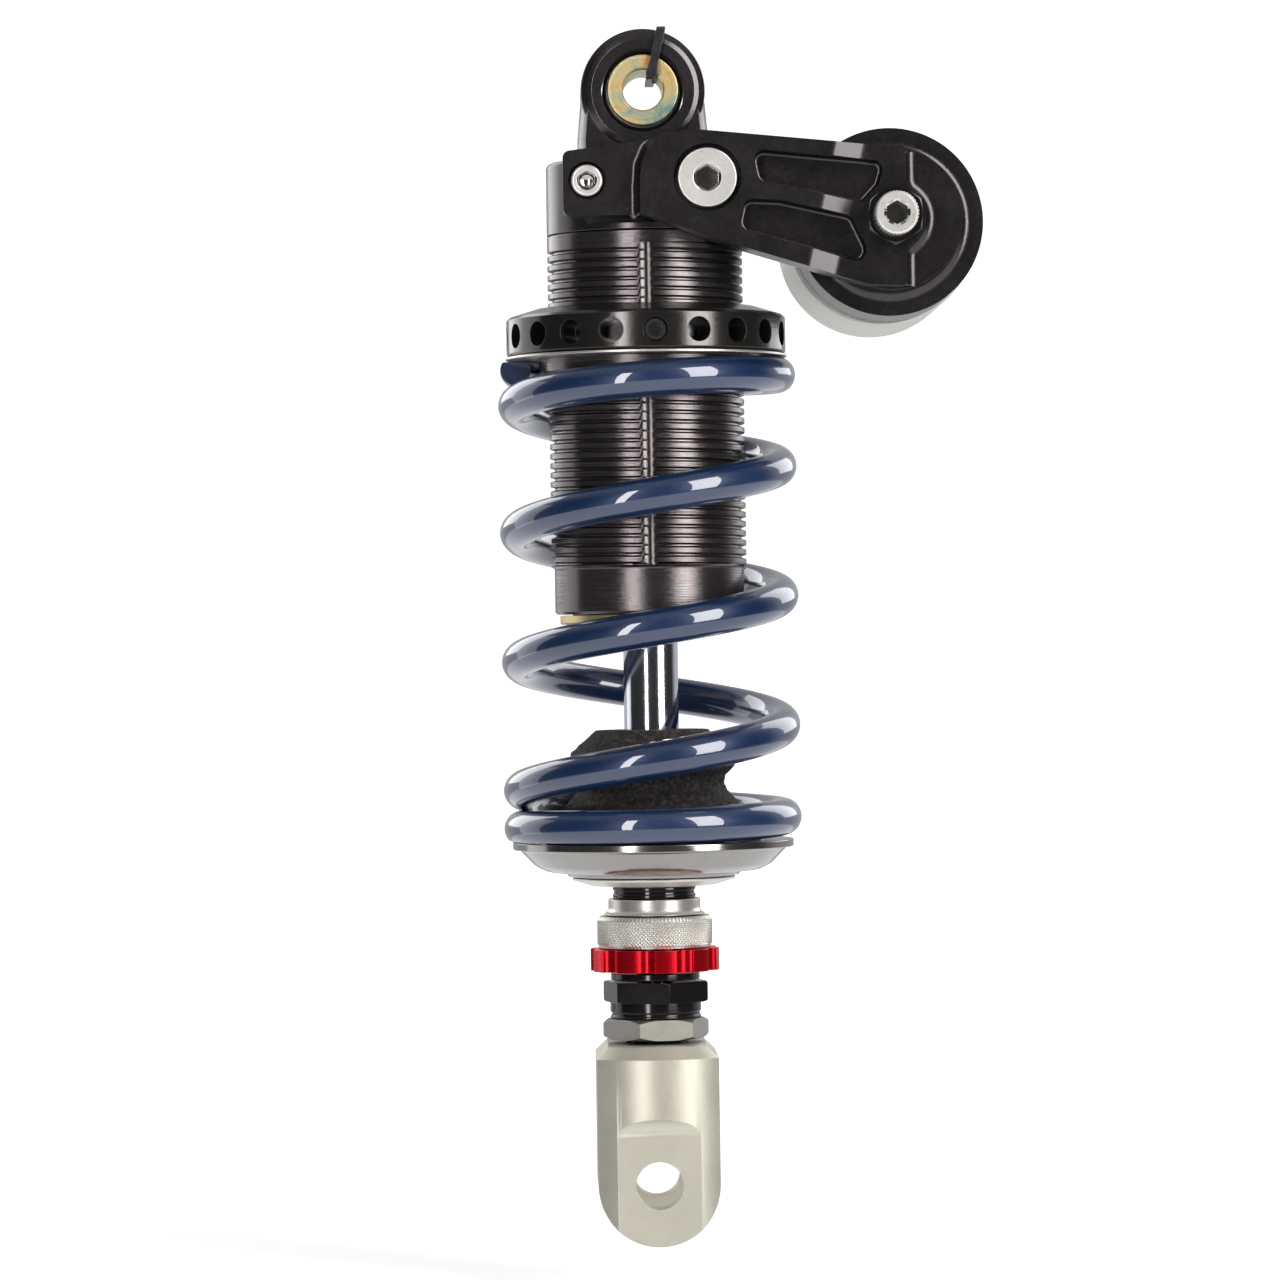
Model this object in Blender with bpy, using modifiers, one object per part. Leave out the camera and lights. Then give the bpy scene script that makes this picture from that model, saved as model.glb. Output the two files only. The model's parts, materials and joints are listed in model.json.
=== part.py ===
"""Coilover: a motorcycle rear shock absorber with an arm-mounted gas reservoir, as separate parts.

Frame: metres, +Z up. The origin is the centre of the top eye's bolt bore. The shock's axis is Z and
runs down from there. The eye's, clevis' and reservoir's axes run along Y, and -Y is the front.
Lengths below are in millimetres; MM turns them into metres. Heights are Z. For a piece turned about
an axis along Y, heights are measured forward, so a forward height of 10 lies at Y = -10.
"""
import math

import bmesh
import bpy
from mathutils import Matrix, Vector

MM = 0.001
GAP = 0.3
MERGE = 1e-5
TAU = 2.0 * math.pi

STEPS_LARGE = 32
STEPS_MEDIUM = 20
STEPS_SMALL = 12

# Top eye and its spherical bearing, forward heights about the bolt axis.
EYE_RADIUS = 15.9
EYE_FACE_RADIUS = 14.0
EYE_HALF_WIDTH = 9.0
EYE_BORE = 10.6
RACE_HALF_WIDTH = 5.5
BALL_RADIUS = 9.2
BALL_HALF_WIDTH = 6.4
BALL_BORE = 6.2
SPACER_RADIUS = 9.0
SPACER_FACE = 10.0
SPACER_SHOULDER = 6.9
BOLT_BORE = 5.1

# Shock head and threaded damper tube.
NECK_RADIUS = 16.8
HEAD_RADIUS = 25.0
HEAD_TOP = -18.0
HEAD_BOTTOM = -36.4
BRACKET_SEAT = 20.2
SPIGOT_RADIUS = 19.7
SPIGOT_BOTTOM = -43.0
TUBE_BORE = 20.0
THREAD_BOTTOM = -121.0
BAND_RADIUS = 24.25
TUBE_BOTTOM = -133.2
KEYWAY_WIDTH = 3.2
KEYWAY_DEPTH = 1.3

# Seal head, at the tube's lower end.
SEAL_HEAD_RADIUS = 23.0
SEAL_HEAD_TOP = -118.0
SEAL_HEAD_BOTTOM = -135.8
SEAL_POCKET = 11.0

# Rod, piston stack and rebound needle.
ROD_RADIUS = 7.0
ROD_TIP_RADIUS = 5.0
ROD_TIP_TOP = -87.0
ROD_SHOULDER = -111.0
ROD_BOTTOM = -215.7
ROD_BORE = 3.2
NEEDLE_RADIUS = 2.8
PISTON_RADIUS = 19.5

# Coil spring: wire, mean radius, ground end planes and how the pitch runs along its turns.
WIRE_RADIUS = 4.65
COIL_RADIUS = 33.5
SPRING_TOP = -68.3
SPRING_BOTTOM = -191.0
SPRING_TURNS = 5.05
SPRING_START = -70.4
CLOSED_PITCH = 4.4
ACTIVE_PITCH = 33.1
PITCH_BREAKS = (0.55, 1.15, 3.9, 4.45)
SPRING_STEPS_PER_TURN = 16

# Preload collar and the washer that the spring turns on.
COLLAR_RADIUS = 35.75
COLLAR_TOP = -55.2
COLLAR_EDGE = -57.4
COLLAR_BOTTOM = -67.1
COLLAR_BORE = 25.3
COLLAR_HOLES = 20
COLLAR_HOLE_RADIUS = 3.1
COLLAR_HOLE_DEPTH = 7.0
COLLAR_HOLE_TURN = 2.9
COLLAR_HOLE_HEIGHT = -62.4

# Lower spring seat, bump stop and the adjusters under them.
SEAT_TOP = -191.3
SEAT_BOTTOM = -200.3
BUMP_TOP = -163.0
BUMP_BOTTOM = -188.7
HOUSING_TOP = -203.0
CORE_RADIUS = 9.0
CORE_BOTTOM = -224.9
SLEEVE_BORE = 9.3
PIN_HEIGHT = -221.5
PIN_ROOM = 2.3
KNOB_TOP = -218.9
KNOB_BOTTOM = -224.6
KNOB_RADIUS = 16.5
KNOB_LOBES = 10
KNOB_TURN = 8.5
HEX_FLATS = 24.0
HEX_TOP = -227.3
HEX_BOTTOM = -232.6
STUD_RADIUS = 8.0
STUD_BOTTOM = -258.0
NUT_TOP = -236.8
NUT_BOTTOM = -242.0

# Clevis: a bar turned about Z, milled flat on both sides, slotted for the linkage arm.
CLEVIS_TOP = -243.1
CLEVIS_TURNED = 22.6
CLEVIS_HALF_WIDTH = 15.5
CLEVIS_EAR_FACE = 20.0
CLEVIS_SLOT = 12.0
CLEVIS_SLOT_TOP = -262.0
CLEVIS_BOLT_HEIGHT = -278.0
CLEVIS_BOLT_RADIUS = 6.0
CLEVIS_CHAMFER = 3.0
CLEVIS_FLAT_TOP = -266.0
CLEVIS_RAMP = 6.0

# Reservoir and the arm that carries it, forward heights about the reservoir's axis.
RESERVOIR_X = 62.0
RESERVOIR_Z = -34.8
RESERVOIR_RADIUS = 24.5
RESERVOIR_BORE = 21.0
RESERVOIR_REAR = -70.0
FLANGE_RADIUS = 23.85
FLANGE_FRONT = 14.0
FLANGE_BACK = -8.0
DISC_RADIUS = 17.8
DISC_FRONT = 25.0
ARM_FRONT = 35.0
ARM_TIP_FRONT = 32.6
ARM_BACK = 20.5
ARM_SLOPE_START = (43.9, -30.2)
ARM_SLOPE_LENGTH = 7.8
ARM_SLOPE_TURN = 13.0
BLOCK_FRONT = 30.0
ARM_END = 65.0
BOSS_RADIUS = 8.0
POCKET_FLOOR = 28.5
POCKET_CORNER = 2.8
SCREW_HEIGHT = -24.6
SMALL_SCREW_X = -14.8
LARGE_SCREW_X = 15.3
VALVE_FLATS = 13.4
VALVE_FRONT = 38.6


def clear_scene():
    """Removes every object and leftover mesh, curve and material from the file."""
    for item in list(bpy.data.objects):
        bpy.data.objects.remove(item, do_unlink=True)
    for store in (bpy.data.meshes, bpy.data.curves, bpy.data.materials):
        for item in list(store):
            store.remove(item)


def new_collection(name):
    collection = bpy.data.collections.new(name)
    bpy.context.scene.collection.children.link(collection)
    return collection


def finish_material(name, colour, roughness, metallic):
    material = bpy.data.materials.new(name)
    material.use_nodes = True
    shader = material.node_tree.nodes["Principled BSDF"]
    shader.inputs["Base Color"].default_value = (*colour, 1.0)
    shader.inputs["Roughness"].default_value = roughness
    shader.inputs["Metallic"].default_value = metallic
    material.diffuse_color = (*colour, 1.0)
    return material


clear_scene()
PARTS = new_collection("coilover")
TOOLS = new_collection("cutters")

BLACK_ANODISED = finish_material("black_anodised", (0.018, 0.017, 0.018), 0.32, 0.8)
THREAD_BLACK = finish_material("thread_black", (0.02, 0.018, 0.018), 0.35, 0.8)
SEAT_GREY = finish_material("seat_grey", (0.05, 0.05, 0.055), 0.35, 0.8)
SATIN_SILVER = finish_material("satin_silver", (0.62, 0.61, 0.57), 0.35, 0.9)
CHAMPAGNE = finish_material("champagne_aluminium", (0.66, 0.63, 0.53), 0.38, 0.9)
GOLD = finish_material("gold_anodised", (0.6, 0.47, 0.25), 0.35, 0.9)
STAINLESS = finish_material("stainless", (0.6, 0.59, 0.55), 0.22, 1.0)
ZINC_YELLOW = finish_material("yellow_zinc", (0.62, 0.5, 0.28), 0.3, 0.9)
CHROME = finish_material("chrome", (0.75, 0.76, 0.78), 0.08, 1.0)
SPRING_BLUE = finish_material("spring_blue", (0.01, 0.03, 0.11), 0.15, 0.5)
RED = finish_material("red_anodised", (0.5, 0.01, 0.02), 0.25, 0.8)
FOAM = finish_material("foam_black", (0.03, 0.022, 0.018), 0.9, 0.0)
RUBBER = finish_material("rubber_black", (0.015, 0.015, 0.015), 0.7, 0.0)
BRONZE = finish_material("bronze", (0.45, 0.3, 0.14), 0.4, 0.9)
STEEL = finish_material("steel", (0.45, 0.45, 0.46), 0.35, 1.0)
NYLON = finish_material("nylon_black", (0.01, 0.01, 0.01), 0.45, 0.0)
PTFE = finish_material("ptfe_brown", (0.25, 0.13, 0.07), 0.5, 0.0)


def add_object(name, data, material):
    """Adds a part, or a cutter where there is no material."""
    item = bpy.data.objects.new(name, data)
    if material is None:
        TOOLS.objects.link(item)
        item.hide_render = True
        item.display_type = "WIRE"
    else:
        PARTS.objects.link(item)
        data.materials.append(material)
    return item


def smooth(mesh):
    mesh.shade_smooth()
    mesh.set_sharp_from_angle(angle=math.radians(35.0))


def turned(name, outline, material=None, steps=STEPS_MEDIUM, centre=(0.0, 0.0, 0.0), forward=False):
    """A turned piece. The outline lists (radius, height) up any bore and down the outer side."""
    mesh = bpy.data.meshes.new(name)
    points = [(radius * MM, 0.0, height * MM) for radius, height in outline]
    edges = [(i, i + 1) for i in range(len(points) - 1)]
    if outline[0][0] > 0.0:
        edges.append((len(points) - 1, 0))
    mesh.from_pydata(points, edges, [])
    item = add_object(name, mesh, material)
    screw = item.modifiers.new("Turn", "SCREW")
    screw.axis = "Z"
    screw.angle = TAU
    screw.steps = steps
    screw.render_steps = steps
    screw.use_merge_vertices = True
    screw.merge_threshold = MERGE
    screw.use_smooth_shade = True
    item.location = Vector(centre) * MM
    if forward:
        item.rotation_euler.x = math.pi / 2
    return item


def ring(name, inner, outer, top, bottom, material, **place):
    """A plain ring of square section."""
    outline = [(inner, bottom), (inner, top), (outer, top), (outer, bottom)]
    return turned(name, outline, material, **place)


def baked(curve_object):
    """Turns a curve object into a mesh object with welded caps, in the same place."""
    bpy.context.view_layer.update()
    graph = bpy.context.evaluated_depsgraph_get()
    mesh = bpy.data.meshes.new_from_object(curve_object.evaluated_get(graph))
    work = bmesh.new()
    work.from_mesh(mesh)
    bmesh.ops.remove_doubles(work, verts=work.verts, dist=MERGE)
    bmesh.ops.recalc_face_normals(work, faces=work.faces)
    work.to_mesh(mesh)
    work.free()
    name = curve_object.name
    matrix = curve_object.matrix_world.copy()
    home = curve_object.users_collection[0]
    hidden = curve_object.hide_render
    bpy.data.objects.remove(curve_object, do_unlink=True)
    item = bpy.data.objects.new(name, mesh)
    home.objects.link(item)
    item.matrix_world = matrix
    if hidden:
        item.hide_render = True
        item.display_type = "WIRE"
    return item


PLANES = {
    "X": Matrix(((0, 0, 1, 0), (1, 0, 0, 0), (0, 1, 0, 0), (0, 0, 0, 1))),
    "Y": Matrix(((1, 0, 0, 0), (0, 0, -1, 0), (0, 1, 0, 0), (0, 0, 0, 1))),
    "Z": Matrix.Identity(4),
}


def extruded(name, outline, axis, low, high, material=None):
    """A flat outline drawn across an axis and extruded between two places along it.

    Outlines are (Y, Z) across X, (X, Z) across Y, and (X, Y) across Z. Across Y, low and high
    are forward distances.
    """
    curve = bpy.data.curves.new(name, "CURVE")
    curve.dimensions = "2D"
    curve.fill_mode = "BOTH"
    curve.extrude = (high - low) * MM / 2
    spline = curve.splines.new("POLY")
    spline.points.add(len(outline) - 1)
    for point, (u, v) in zip(spline.points, outline):
        point.co = (u * MM, v * MM, 0.0, 1.0)
    spline.use_cyclic_u = True
    item = add_object(name, curve, material)
    item.matrix_world = PLANES[axis] @ Matrix.Translation((0.0, 0.0, (low + high) * MM / 2))
    return baked(item)


def arc(centre, radius, start, end, count):
    """Points on an arc, in degrees from the outline's first axis towards its second."""
    points = []
    for i in range(count + 1):
        angle = math.radians(start + (end - start) * i / count)
        points.append((centre[0] + radius * math.cos(angle), centre[1] + radius * math.sin(angle)))
    return points


def rounded(corners, radius, count=4):
    """The outline with every corner replaced by an arc."""
    outline = []
    total = len(corners)
    for i, corner in enumerate(corners):
        here = Vector(corner)
        back = (Vector(corners[i - 1]) - here).normalized()
        ahead = (Vector(corners[(i + 1) % total]) - here).normalized()
        half = back.angle(ahead) / 2
        reach = radius / math.tan(half)
        centre = here + (back + ahead).normalized() * (radius / math.sin(half))
        start = here + back * reach - centre
        end = here + ahead * reach - centre
        turn = start.angle_signed(end)
        for step in range(count + 1):
            point = start.copy()
            point.rotate(Matrix.Rotation(-turn * step / count, 2))
            outline.append(tuple(centre + point))
    return outline


def bar(name, radius, start, end, material=None, sides=STEPS_SMALL):
    """A straight round bar, or a prism with few sides, between two points."""
    start, end = Vector(start) * MM, Vector(end) * MM
    along = end - start
    mesh = bpy.data.meshes.new(name)
    work = bmesh.new()
    bmesh.ops.create_cone(
        work, cap_ends=True, segments=sides, radius1=radius * MM, radius2=radius * MM,
        depth=along.length,
    )
    work.to_mesh(mesh)
    work.free()
    if sides > 8:
        smooth(mesh)
    item = add_object(name, mesh, material)
    item.rotation_euler = along.to_track_quat("Z", "Y").to_euler()
    item.location = (start + end) / 2
    return item


def box(name, low, high):
    """A cutter: the box between two corners."""
    low, high = Vector(low) * MM, Vector(high) * MM
    mesh = bpy.data.meshes.new(name)
    work = bmesh.new()
    size = high - low
    bmesh.ops.create_cube(work, size=1.0, matrix=Matrix.Diagonal((*size, 1.0)))
    work.to_mesh(mesh)
    work.free()
    item = add_object(name, mesh, None)
    item.location = (low + high) / 2
    return item


def hexagon(flats, turn):
    """A hexagon's corners as (X, Y), with one corner at this angle from the front towards +X."""
    corner = flats / 2 / math.cos(math.pi / 6)
    corners = []
    for i in range(6):
        angle = math.radians(turn + 60 * i)
        corners.append((corner * math.sin(angle), -corner * math.cos(angle)))
    return corners


def combine(item, operation, *others):
    """Joins, cuts or trims a piece with others, which stay as hidden cutters."""
    for other in others:
        change = item.modifiers.new(operation.title(), "BOOLEAN")
        change.operation = operation
        change.solver = "EXACT"
        change.object = other
    return item


def top_eye():
    """The eye, neck and head, the spherical bearing in the eye and its two spacers."""
    eye_outline = [
        (EYE_FACE_RADIUS, EYE_HALF_WIDTH), (EYE_RADIUS, EYE_HALF_WIDTH - 1.2),
        (EYE_RADIUS, 1.2 - EYE_HALF_WIDTH), (EYE_FACE_RADIUS, -EYE_HALF_WIDTH),
    ]
    eye = [(0.0, EYE_HALF_WIDTH), *eye_outline, (0.0, -EYE_HALF_WIDTH)]
    head = turned("shock_head", eye, BLACK_ANODISED, STEPS_LARGE, forward=True)
    neck = turned("neck_form", [(0.0, -2.0), (EYE_RADIUS, -2.0), (NECK_RADIUS, -12.0),
                                (NECK_RADIUS, HEAD_TOP - 1.0), (0.0, HEAD_TOP - 1.0)],
                  steps=STEPS_LARGE)
    cheeks = [box(f"cheek_{side}", (-20.0, y, -14.5), (20.0, y + 12.0, 0.0))
              for side, y in (("front", -12.0 - EYE_HALF_WIDTH), ("rear", EYE_HALF_WIDTH))]
    combine(neck, "DIFFERENCE", *cheeks)
    drum = turned("drum_form", [(0.0, HEAD_TOP), (HEAD_RADIUS - 1.2, HEAD_TOP),
                                (HEAD_RADIUS, HEAD_TOP - 1.2), (HEAD_RADIUS, HEAD_BOTTOM),
                                (SPIGOT_RADIUS, HEAD_BOTTOM), (SPIGOT_RADIUS, SPIGOT_BOTTOM),
                                (0.0, SPIGOT_BOTTOM)], steps=STEPS_LARGE)
    combine(head, "UNION", neck, drum)
    seat = box("bracket_seat_cut", (-30.0, -40.0, -50.0), (30.0, -BRACKET_SEAT, HEAD_TOP + 0.5))
    neck_seat = box("neck_seat_cut", (-22.0, -40.0, -19.5), (72.0, -BRACKET_SEAT, -10.0))
    bore = bar("eye_bore_cut", EYE_BORE, (0, -20, 0), (0, 20, 0), sides=STEPS_MEDIUM)
    small = bar("small_tapping_cut", 2.8, (SMALL_SCREW_X, -30, SCREW_HEIGHT),
                (SMALL_SCREW_X, -9.5, SCREW_HEIGHT), sides=12)
    large = bar("large_tapping_cut", 4.3, (LARGE_SCREW_X, -30, SCREW_HEIGHT),
                (LARGE_SCREW_X, -7.5, SCREW_HEIGHT), sides=16)
    combine(head, "DIFFERENCE", seat, neck_seat, bore, small, large)

    race = [(EYE_BORE - GAP, RACE_HALF_WIDTH), (EYE_BORE - GAP, -RACE_HALF_WIDTH)]
    for i in range(5):
        height = -RACE_HALF_WIDTH + 2 * RACE_HALF_WIDTH * i / 4
        race.append((math.sqrt((BALL_RADIUS + GAP) ** 2 - height ** 2), height))
    turned("bearing_race", race, STEEL, forward=True)
    ball = [(BALL_BORE, -BALL_HALF_WIDTH), (BALL_BORE, BALL_HALF_WIDTH)]
    reach = math.degrees(math.asin(BALL_HALF_WIDTH / BALL_RADIUS))
    ball += arc((0.0, 0.0), BALL_RADIUS, reach, -reach, 6)
    turned("bearing_ball", ball, CHROME, forward=True)
    for side, sign in (("front", 1), ("rear", -1)):
        ring(f"bearing_circlip_{side}", SPACER_RADIUS + 0.35, EYE_BORE - GAP,
             sign * 6.2 + 0.4, sign * 6.2 - 0.4, STEEL, forward=True)
        hat = [(BOLT_BORE, 0.2), (BOLT_BORE, SPACER_FACE), (SPACER_RADIUS - 0.5, SPACER_FACE),
               (SPACER_RADIUS, SPACER_FACE - 0.5), (SPACER_RADIUS, SPACER_SHOULDER),
               (BALL_BORE - GAP, SPACER_SHOULDER), (BALL_BORE - GAP, 0.2)]
        if sign < 0:
            hat = [(radius, -height) for radius, height in reversed(hat)]
        turned(f"eye_spacer_{side}", hat, ZINC_YELLOW, forward=True)


def cable_tie():
    """The transport tie through the eye: one closed loop round the top of the eye."""
    width, top, low, x = 11.7, 17.6, 2.9, 2.0
    corners = rounded([(-width, low), (width, low), (width, top), (-width, top)], 2.6, 3)
    curve = bpy.data.curves.new("cable_tie", "CURVE")
    curve.dimensions = "3D"
    curve.bevel_depth = 1.1 * MM
    curve.bevel_resolution = 2
    spline = curve.splines.new("POLY")
    spline.points.add(len(corners) - 1)
    for point, (y, z) in zip(spline.points, corners):
        point.co = (x * MM, y * MM, z * MM, 1.0)
    spline.use_cyclic_u = True
    add_object("cable_tie", curve, NYLON)


def damper_tube():
    """The threaded tube at thread crest size, its keyway and the seals at its two ends."""
    tube = turned("damper_tube", [
        (TUBE_BORE, TUBE_BOTTOM), (TUBE_BORE, HEAD_BOTTOM - GAP), (HEAD_RADIUS, HEAD_BOTTOM - GAP),
        (HEAD_RADIUS, THREAD_BOTTOM), (BAND_RADIUS, THREAD_BOTTOM - 0.6), (BAND_RADIUS, TUBE_BOTTOM),
    ], THREAD_BLACK, STEPS_LARGE)
    half = KEYWAY_WIDTH / 2
    combine(tube, "DIFFERENCE", box("keyway_cut", (-half, -30.0, THREAD_BOTTOM),
                                    (half, KEYWAY_DEPTH - HEAD_RADIUS, -30.0)))
    turned("seal_head", [
        (SEAL_POCKET, SEAL_HEAD_BOTTOM), (SEAL_POCKET, -124.5), (ROD_RADIUS + 1.3, -124.5),
        (ROD_RADIUS + 1.3, SEAL_HEAD_TOP), (TUBE_BORE - GAP, SEAL_HEAD_TOP),
        (TUBE_BORE - GAP, TUBE_BOTTOM - GAP), (SEAL_HEAD_RADIUS, TUBE_BOTTOM - GAP),
        (SEAL_HEAD_RADIUS, SEAL_HEAD_BOTTOM),
    ], GOLD, STEPS_LARGE)
    ring("rod_bushing", ROD_RADIUS + GAP, ROD_RADIUS + 1.0, SEAL_HEAD_TOP - 0.5, -124.2, BRONZE)
    ring("rod_seal", ROD_RADIUS + GAP, SEAL_POCKET - GAP, -124.8, -129.0, RUBBER)
    turned("dust_wiper", [
        (ROD_RADIUS + 0.9, -134.6), (ROD_RADIUS + 1.6, -129.4), (SEAL_POCKET - GAP, -129.4),
        (SEAL_POCKET - GAP, -135.6), (ROD_RADIUS + GAP, -137.0), (ROD_RADIUS + GAP, -135.8),
    ], RUBBER)


def spring_heights():
    """Heights of the wire's centre line, one per step down the spring."""
    count = round(SPRING_TURNS * SPRING_STEPS_PER_TURN)
    slow_end, fast_start, fast_end, slow_start = PITCH_BREAKS
    heights = [SPRING_START]
    for i in range(count):
        turn = SPRING_TURNS * (i + 0.5) / count
        rise = min(max((turn - slow_end) / (fast_start - slow_end), 0.0), 1.0)
        fall = min(max((slow_start - turn) / (slow_start - fast_end), 0.0), 1.0)
        pitch = CLOSED_PITCH + (ACTIVE_PITCH - CLOSED_PITCH) * min(rise, fall)
        heights.append(heights[-1] - pitch * SPRING_TURNS / count)
    return heights


def coil_spring():
    """A right-handed compression spring with closed, ground ends; it starts at the left."""
    heights = spring_heights()
    curve = bpy.data.curves.new("coil_spring", "CURVE")
    curve.dimensions = "3D"
    curve.bevel_depth = WIRE_RADIUS * MM
    curve.bevel_resolution = 2
    curve.use_fill_caps = True
    spline = curve.splines.new("POLY")
    spline.points.add(len(heights) - 1)
    for i, (point, height) in enumerate(zip(spline.points, heights)):
        angle = math.pi - TAU * SPRING_TURNS * i / (len(heights) - 1)
        point.co = (COIL_RADIUS * math.cos(angle) * MM, COIL_RADIUS * math.sin(angle) * MM,
                    height * MM, 1.0)
    spring = baked(add_object("coil_spring", curve, SPRING_BLUE))
    top = box("spring_top_grind", (-50, -50, SPRING_TOP), (50, 50, SPRING_TOP + 10))
    bottom = box("spring_bottom_grind", (-50, -50, SPRING_BOTTOM - 10), (50, 50, SPRING_BOTTOM))
    combine(spring, "DIFFERENCE", top, bottom)


def preload_collar():
    """The spring's threaded collar with its ring of spanner holes, set screw and thrust washer."""
    collar = turned("preload_collar", [
        (COLLAR_BORE, COLLAR_BOTTOM), (COLLAR_BORE, COLLAR_TOP), (28.5, COLLAR_TOP),
        (COLLAR_RADIUS - 0.7, COLLAR_EDGE), (COLLAR_RADIUS, COLLAR_EDGE - 0.7),
        (COLLAR_RADIUS, COLLAR_BOTTOM + 0.4), (COLLAR_RADIUS - 0.4, COLLAR_BOTTOM),
    ], BLACK_ANODISED, STEPS_LARGE)
    for i in range(COLLAR_HOLES):
        angle = math.radians(COLLAR_HOLE_TURN + 360.0 * i / COLLAR_HOLES)
        out = Vector((math.sin(angle), -math.cos(angle), 0.0))
        start = out * (COLLAR_RADIUS + 4.0) + Vector((0, 0, COLLAR_HOLE_HEIGHT))
        end = out * (COLLAR_RADIUS - COLLAR_HOLE_DEPTH) + Vector((0, 0, COLLAR_HOLE_HEIGHT))
        drill = bar(f"spanner_hole_cut_{i:02d}", COLLAR_HOLE_RADIUS, start, end, sides=10)
        combine(collar, "DIFFERENCE", drill)
    angle = math.radians(COLLAR_HOLE_TURN)
    out = Vector((math.sin(angle), -math.cos(angle), 0.0))
    height = Vector((0, 0, COLLAR_HOLE_HEIGHT))
    screw = bar("collar_set_screw", 2.7, out * 29.2 + height, out * 34.9 + height,
                BLACK_ANODISED, 16)
    socket = bar("set_screw_socket_cut", 1.7, out * 32.4 + height, out * 37 + height, sides=6)
    combine(screw, "DIFFERENCE", socket)
    turned("thrust_washer", [
        (25.5, -72.0), (25.5, COLLAR_BOTTOM - GAP), (36.0, COLLAR_BOTTOM - GAP),
        (36.0, SPRING_TOP + GAP), (27.6, SPRING_TOP + GAP), (27.6, -71.4), (27.0, -72.0),
    ], SATIN_SILVER, STEPS_LARGE)


def piston_group():
    """The hollow rod with its piston, shims and nut, and the needle inside it."""
    turned("piston_rod", [
        (ROD_BORE, ROD_BOTTOM), (ROD_BORE, ROD_TIP_TOP), (ROD_TIP_RADIUS, ROD_TIP_TOP),
        (ROD_TIP_RADIUS, ROD_SHOULDER), (ROD_RADIUS, ROD_SHOULDER), (ROD_RADIUS, ROD_BOTTOM),
    ], CHROME)
    bore = ROD_TIP_RADIUS + GAP
    ring("topout_washer", bore, 11.0, -109.2, -110.7, STEEL)
    ring("rebound_shims", bore, 15.0, -107.0, -108.9, STEEL)
    turned("damper_piston", [
        (bore, -106.7), (bore, -96.7), (PISTON_RADIUS, -96.7), (PISTON_RADIUS, -98.5),
        (PISTON_RADIUS - 1.6, -98.5), (PISTON_RADIUS - 1.6, -104.9), (PISTON_RADIUS, -104.9),
        (PISTON_RADIUS, -106.7),
    ], CHAMPAGNE)
    ring("piston_band", PISTON_RADIUS - 1.3, TUBE_BORE - 0.3, -98.8, -104.6, PTFE)
    ring("compression_shims", bore, 15.0, -94.5, -96.4, STEEL)
    nut = extruded("piston_nut", hexagon(15.0, 0.0), "Z", -94.2, -88.0, STEEL)
    combine(nut, "DIFFERENCE", bar("piston_nut_bore_cut", bore, (0, 0, -96), (0, 0, -86)))

    needle = turned("rebound_needle", [
        (0.0, -113.0), (0.8, -113.0), (NEEDLE_RADIUS, -122.0), (NEEDLE_RADIUS, -223.0),
        (0.0, -223.0),
    ], STEEL, STEPS_SMALL)
    room = bar("needle_pin_hole_cut", 1.3, (-5, 0, PIN_HEIGHT), (5, 0, PIN_HEIGHT), sides=12)
    combine(needle, "DIFFERENCE", room)
    bar("needle_pin", 1.0, (-9.9, 0, PIN_HEIGHT), (9.9, 0, PIN_HEIGHT), STEEL, 12)


def lower_seat():
    """The foam bump stop, the dished spring seat and the ring that holds it."""
    turned("bump_stop", [
        (ROD_RADIUS + 0.4, BUMP_BOTTOM), (ROD_RADIUS + 0.4, BUMP_TOP), (14.25, BUMP_TOP),
        (20.6, -168.6), (21.0, -169.6), (21.0, -172.6), (18.8, -174.8), (18.2, -176.6),
        (19.0, -178.6), (22.4, -182.2), (22.8, -184.0), (22.8, BUMP_BOTTOM),
    ], FOAM)
    turned("spring_seat", [
        (7.6, SEAT_BOTTOM), (7.6, BUMP_BOTTOM - GAP), (23.4, BUMP_BOTTOM - GAP), (23.4, -186.0),
        (27.0, -186.0), (27.6, -186.7), (27.6, SEAT_TOP), (36.0, SEAT_TOP), (36.0, -193.3),
        (33.4, -194.0), (31.2, -196.2), (28.6, -198.2), (26.4, -199.0), (22.0, -199.4),
        (21.8, SEAT_BOTTOM),
    ], SEAT_GREY, STEPS_LARGE)
    turned("seat_retaining_ring", [
        (7.6, -202.7), (7.6, SEAT_BOTTOM - GAP), (21.0, SEAT_BOTTOM - GAP), (20.6, -201.4),
        (16.2, -202.7),
    ], SATIN_SILVER)


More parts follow.
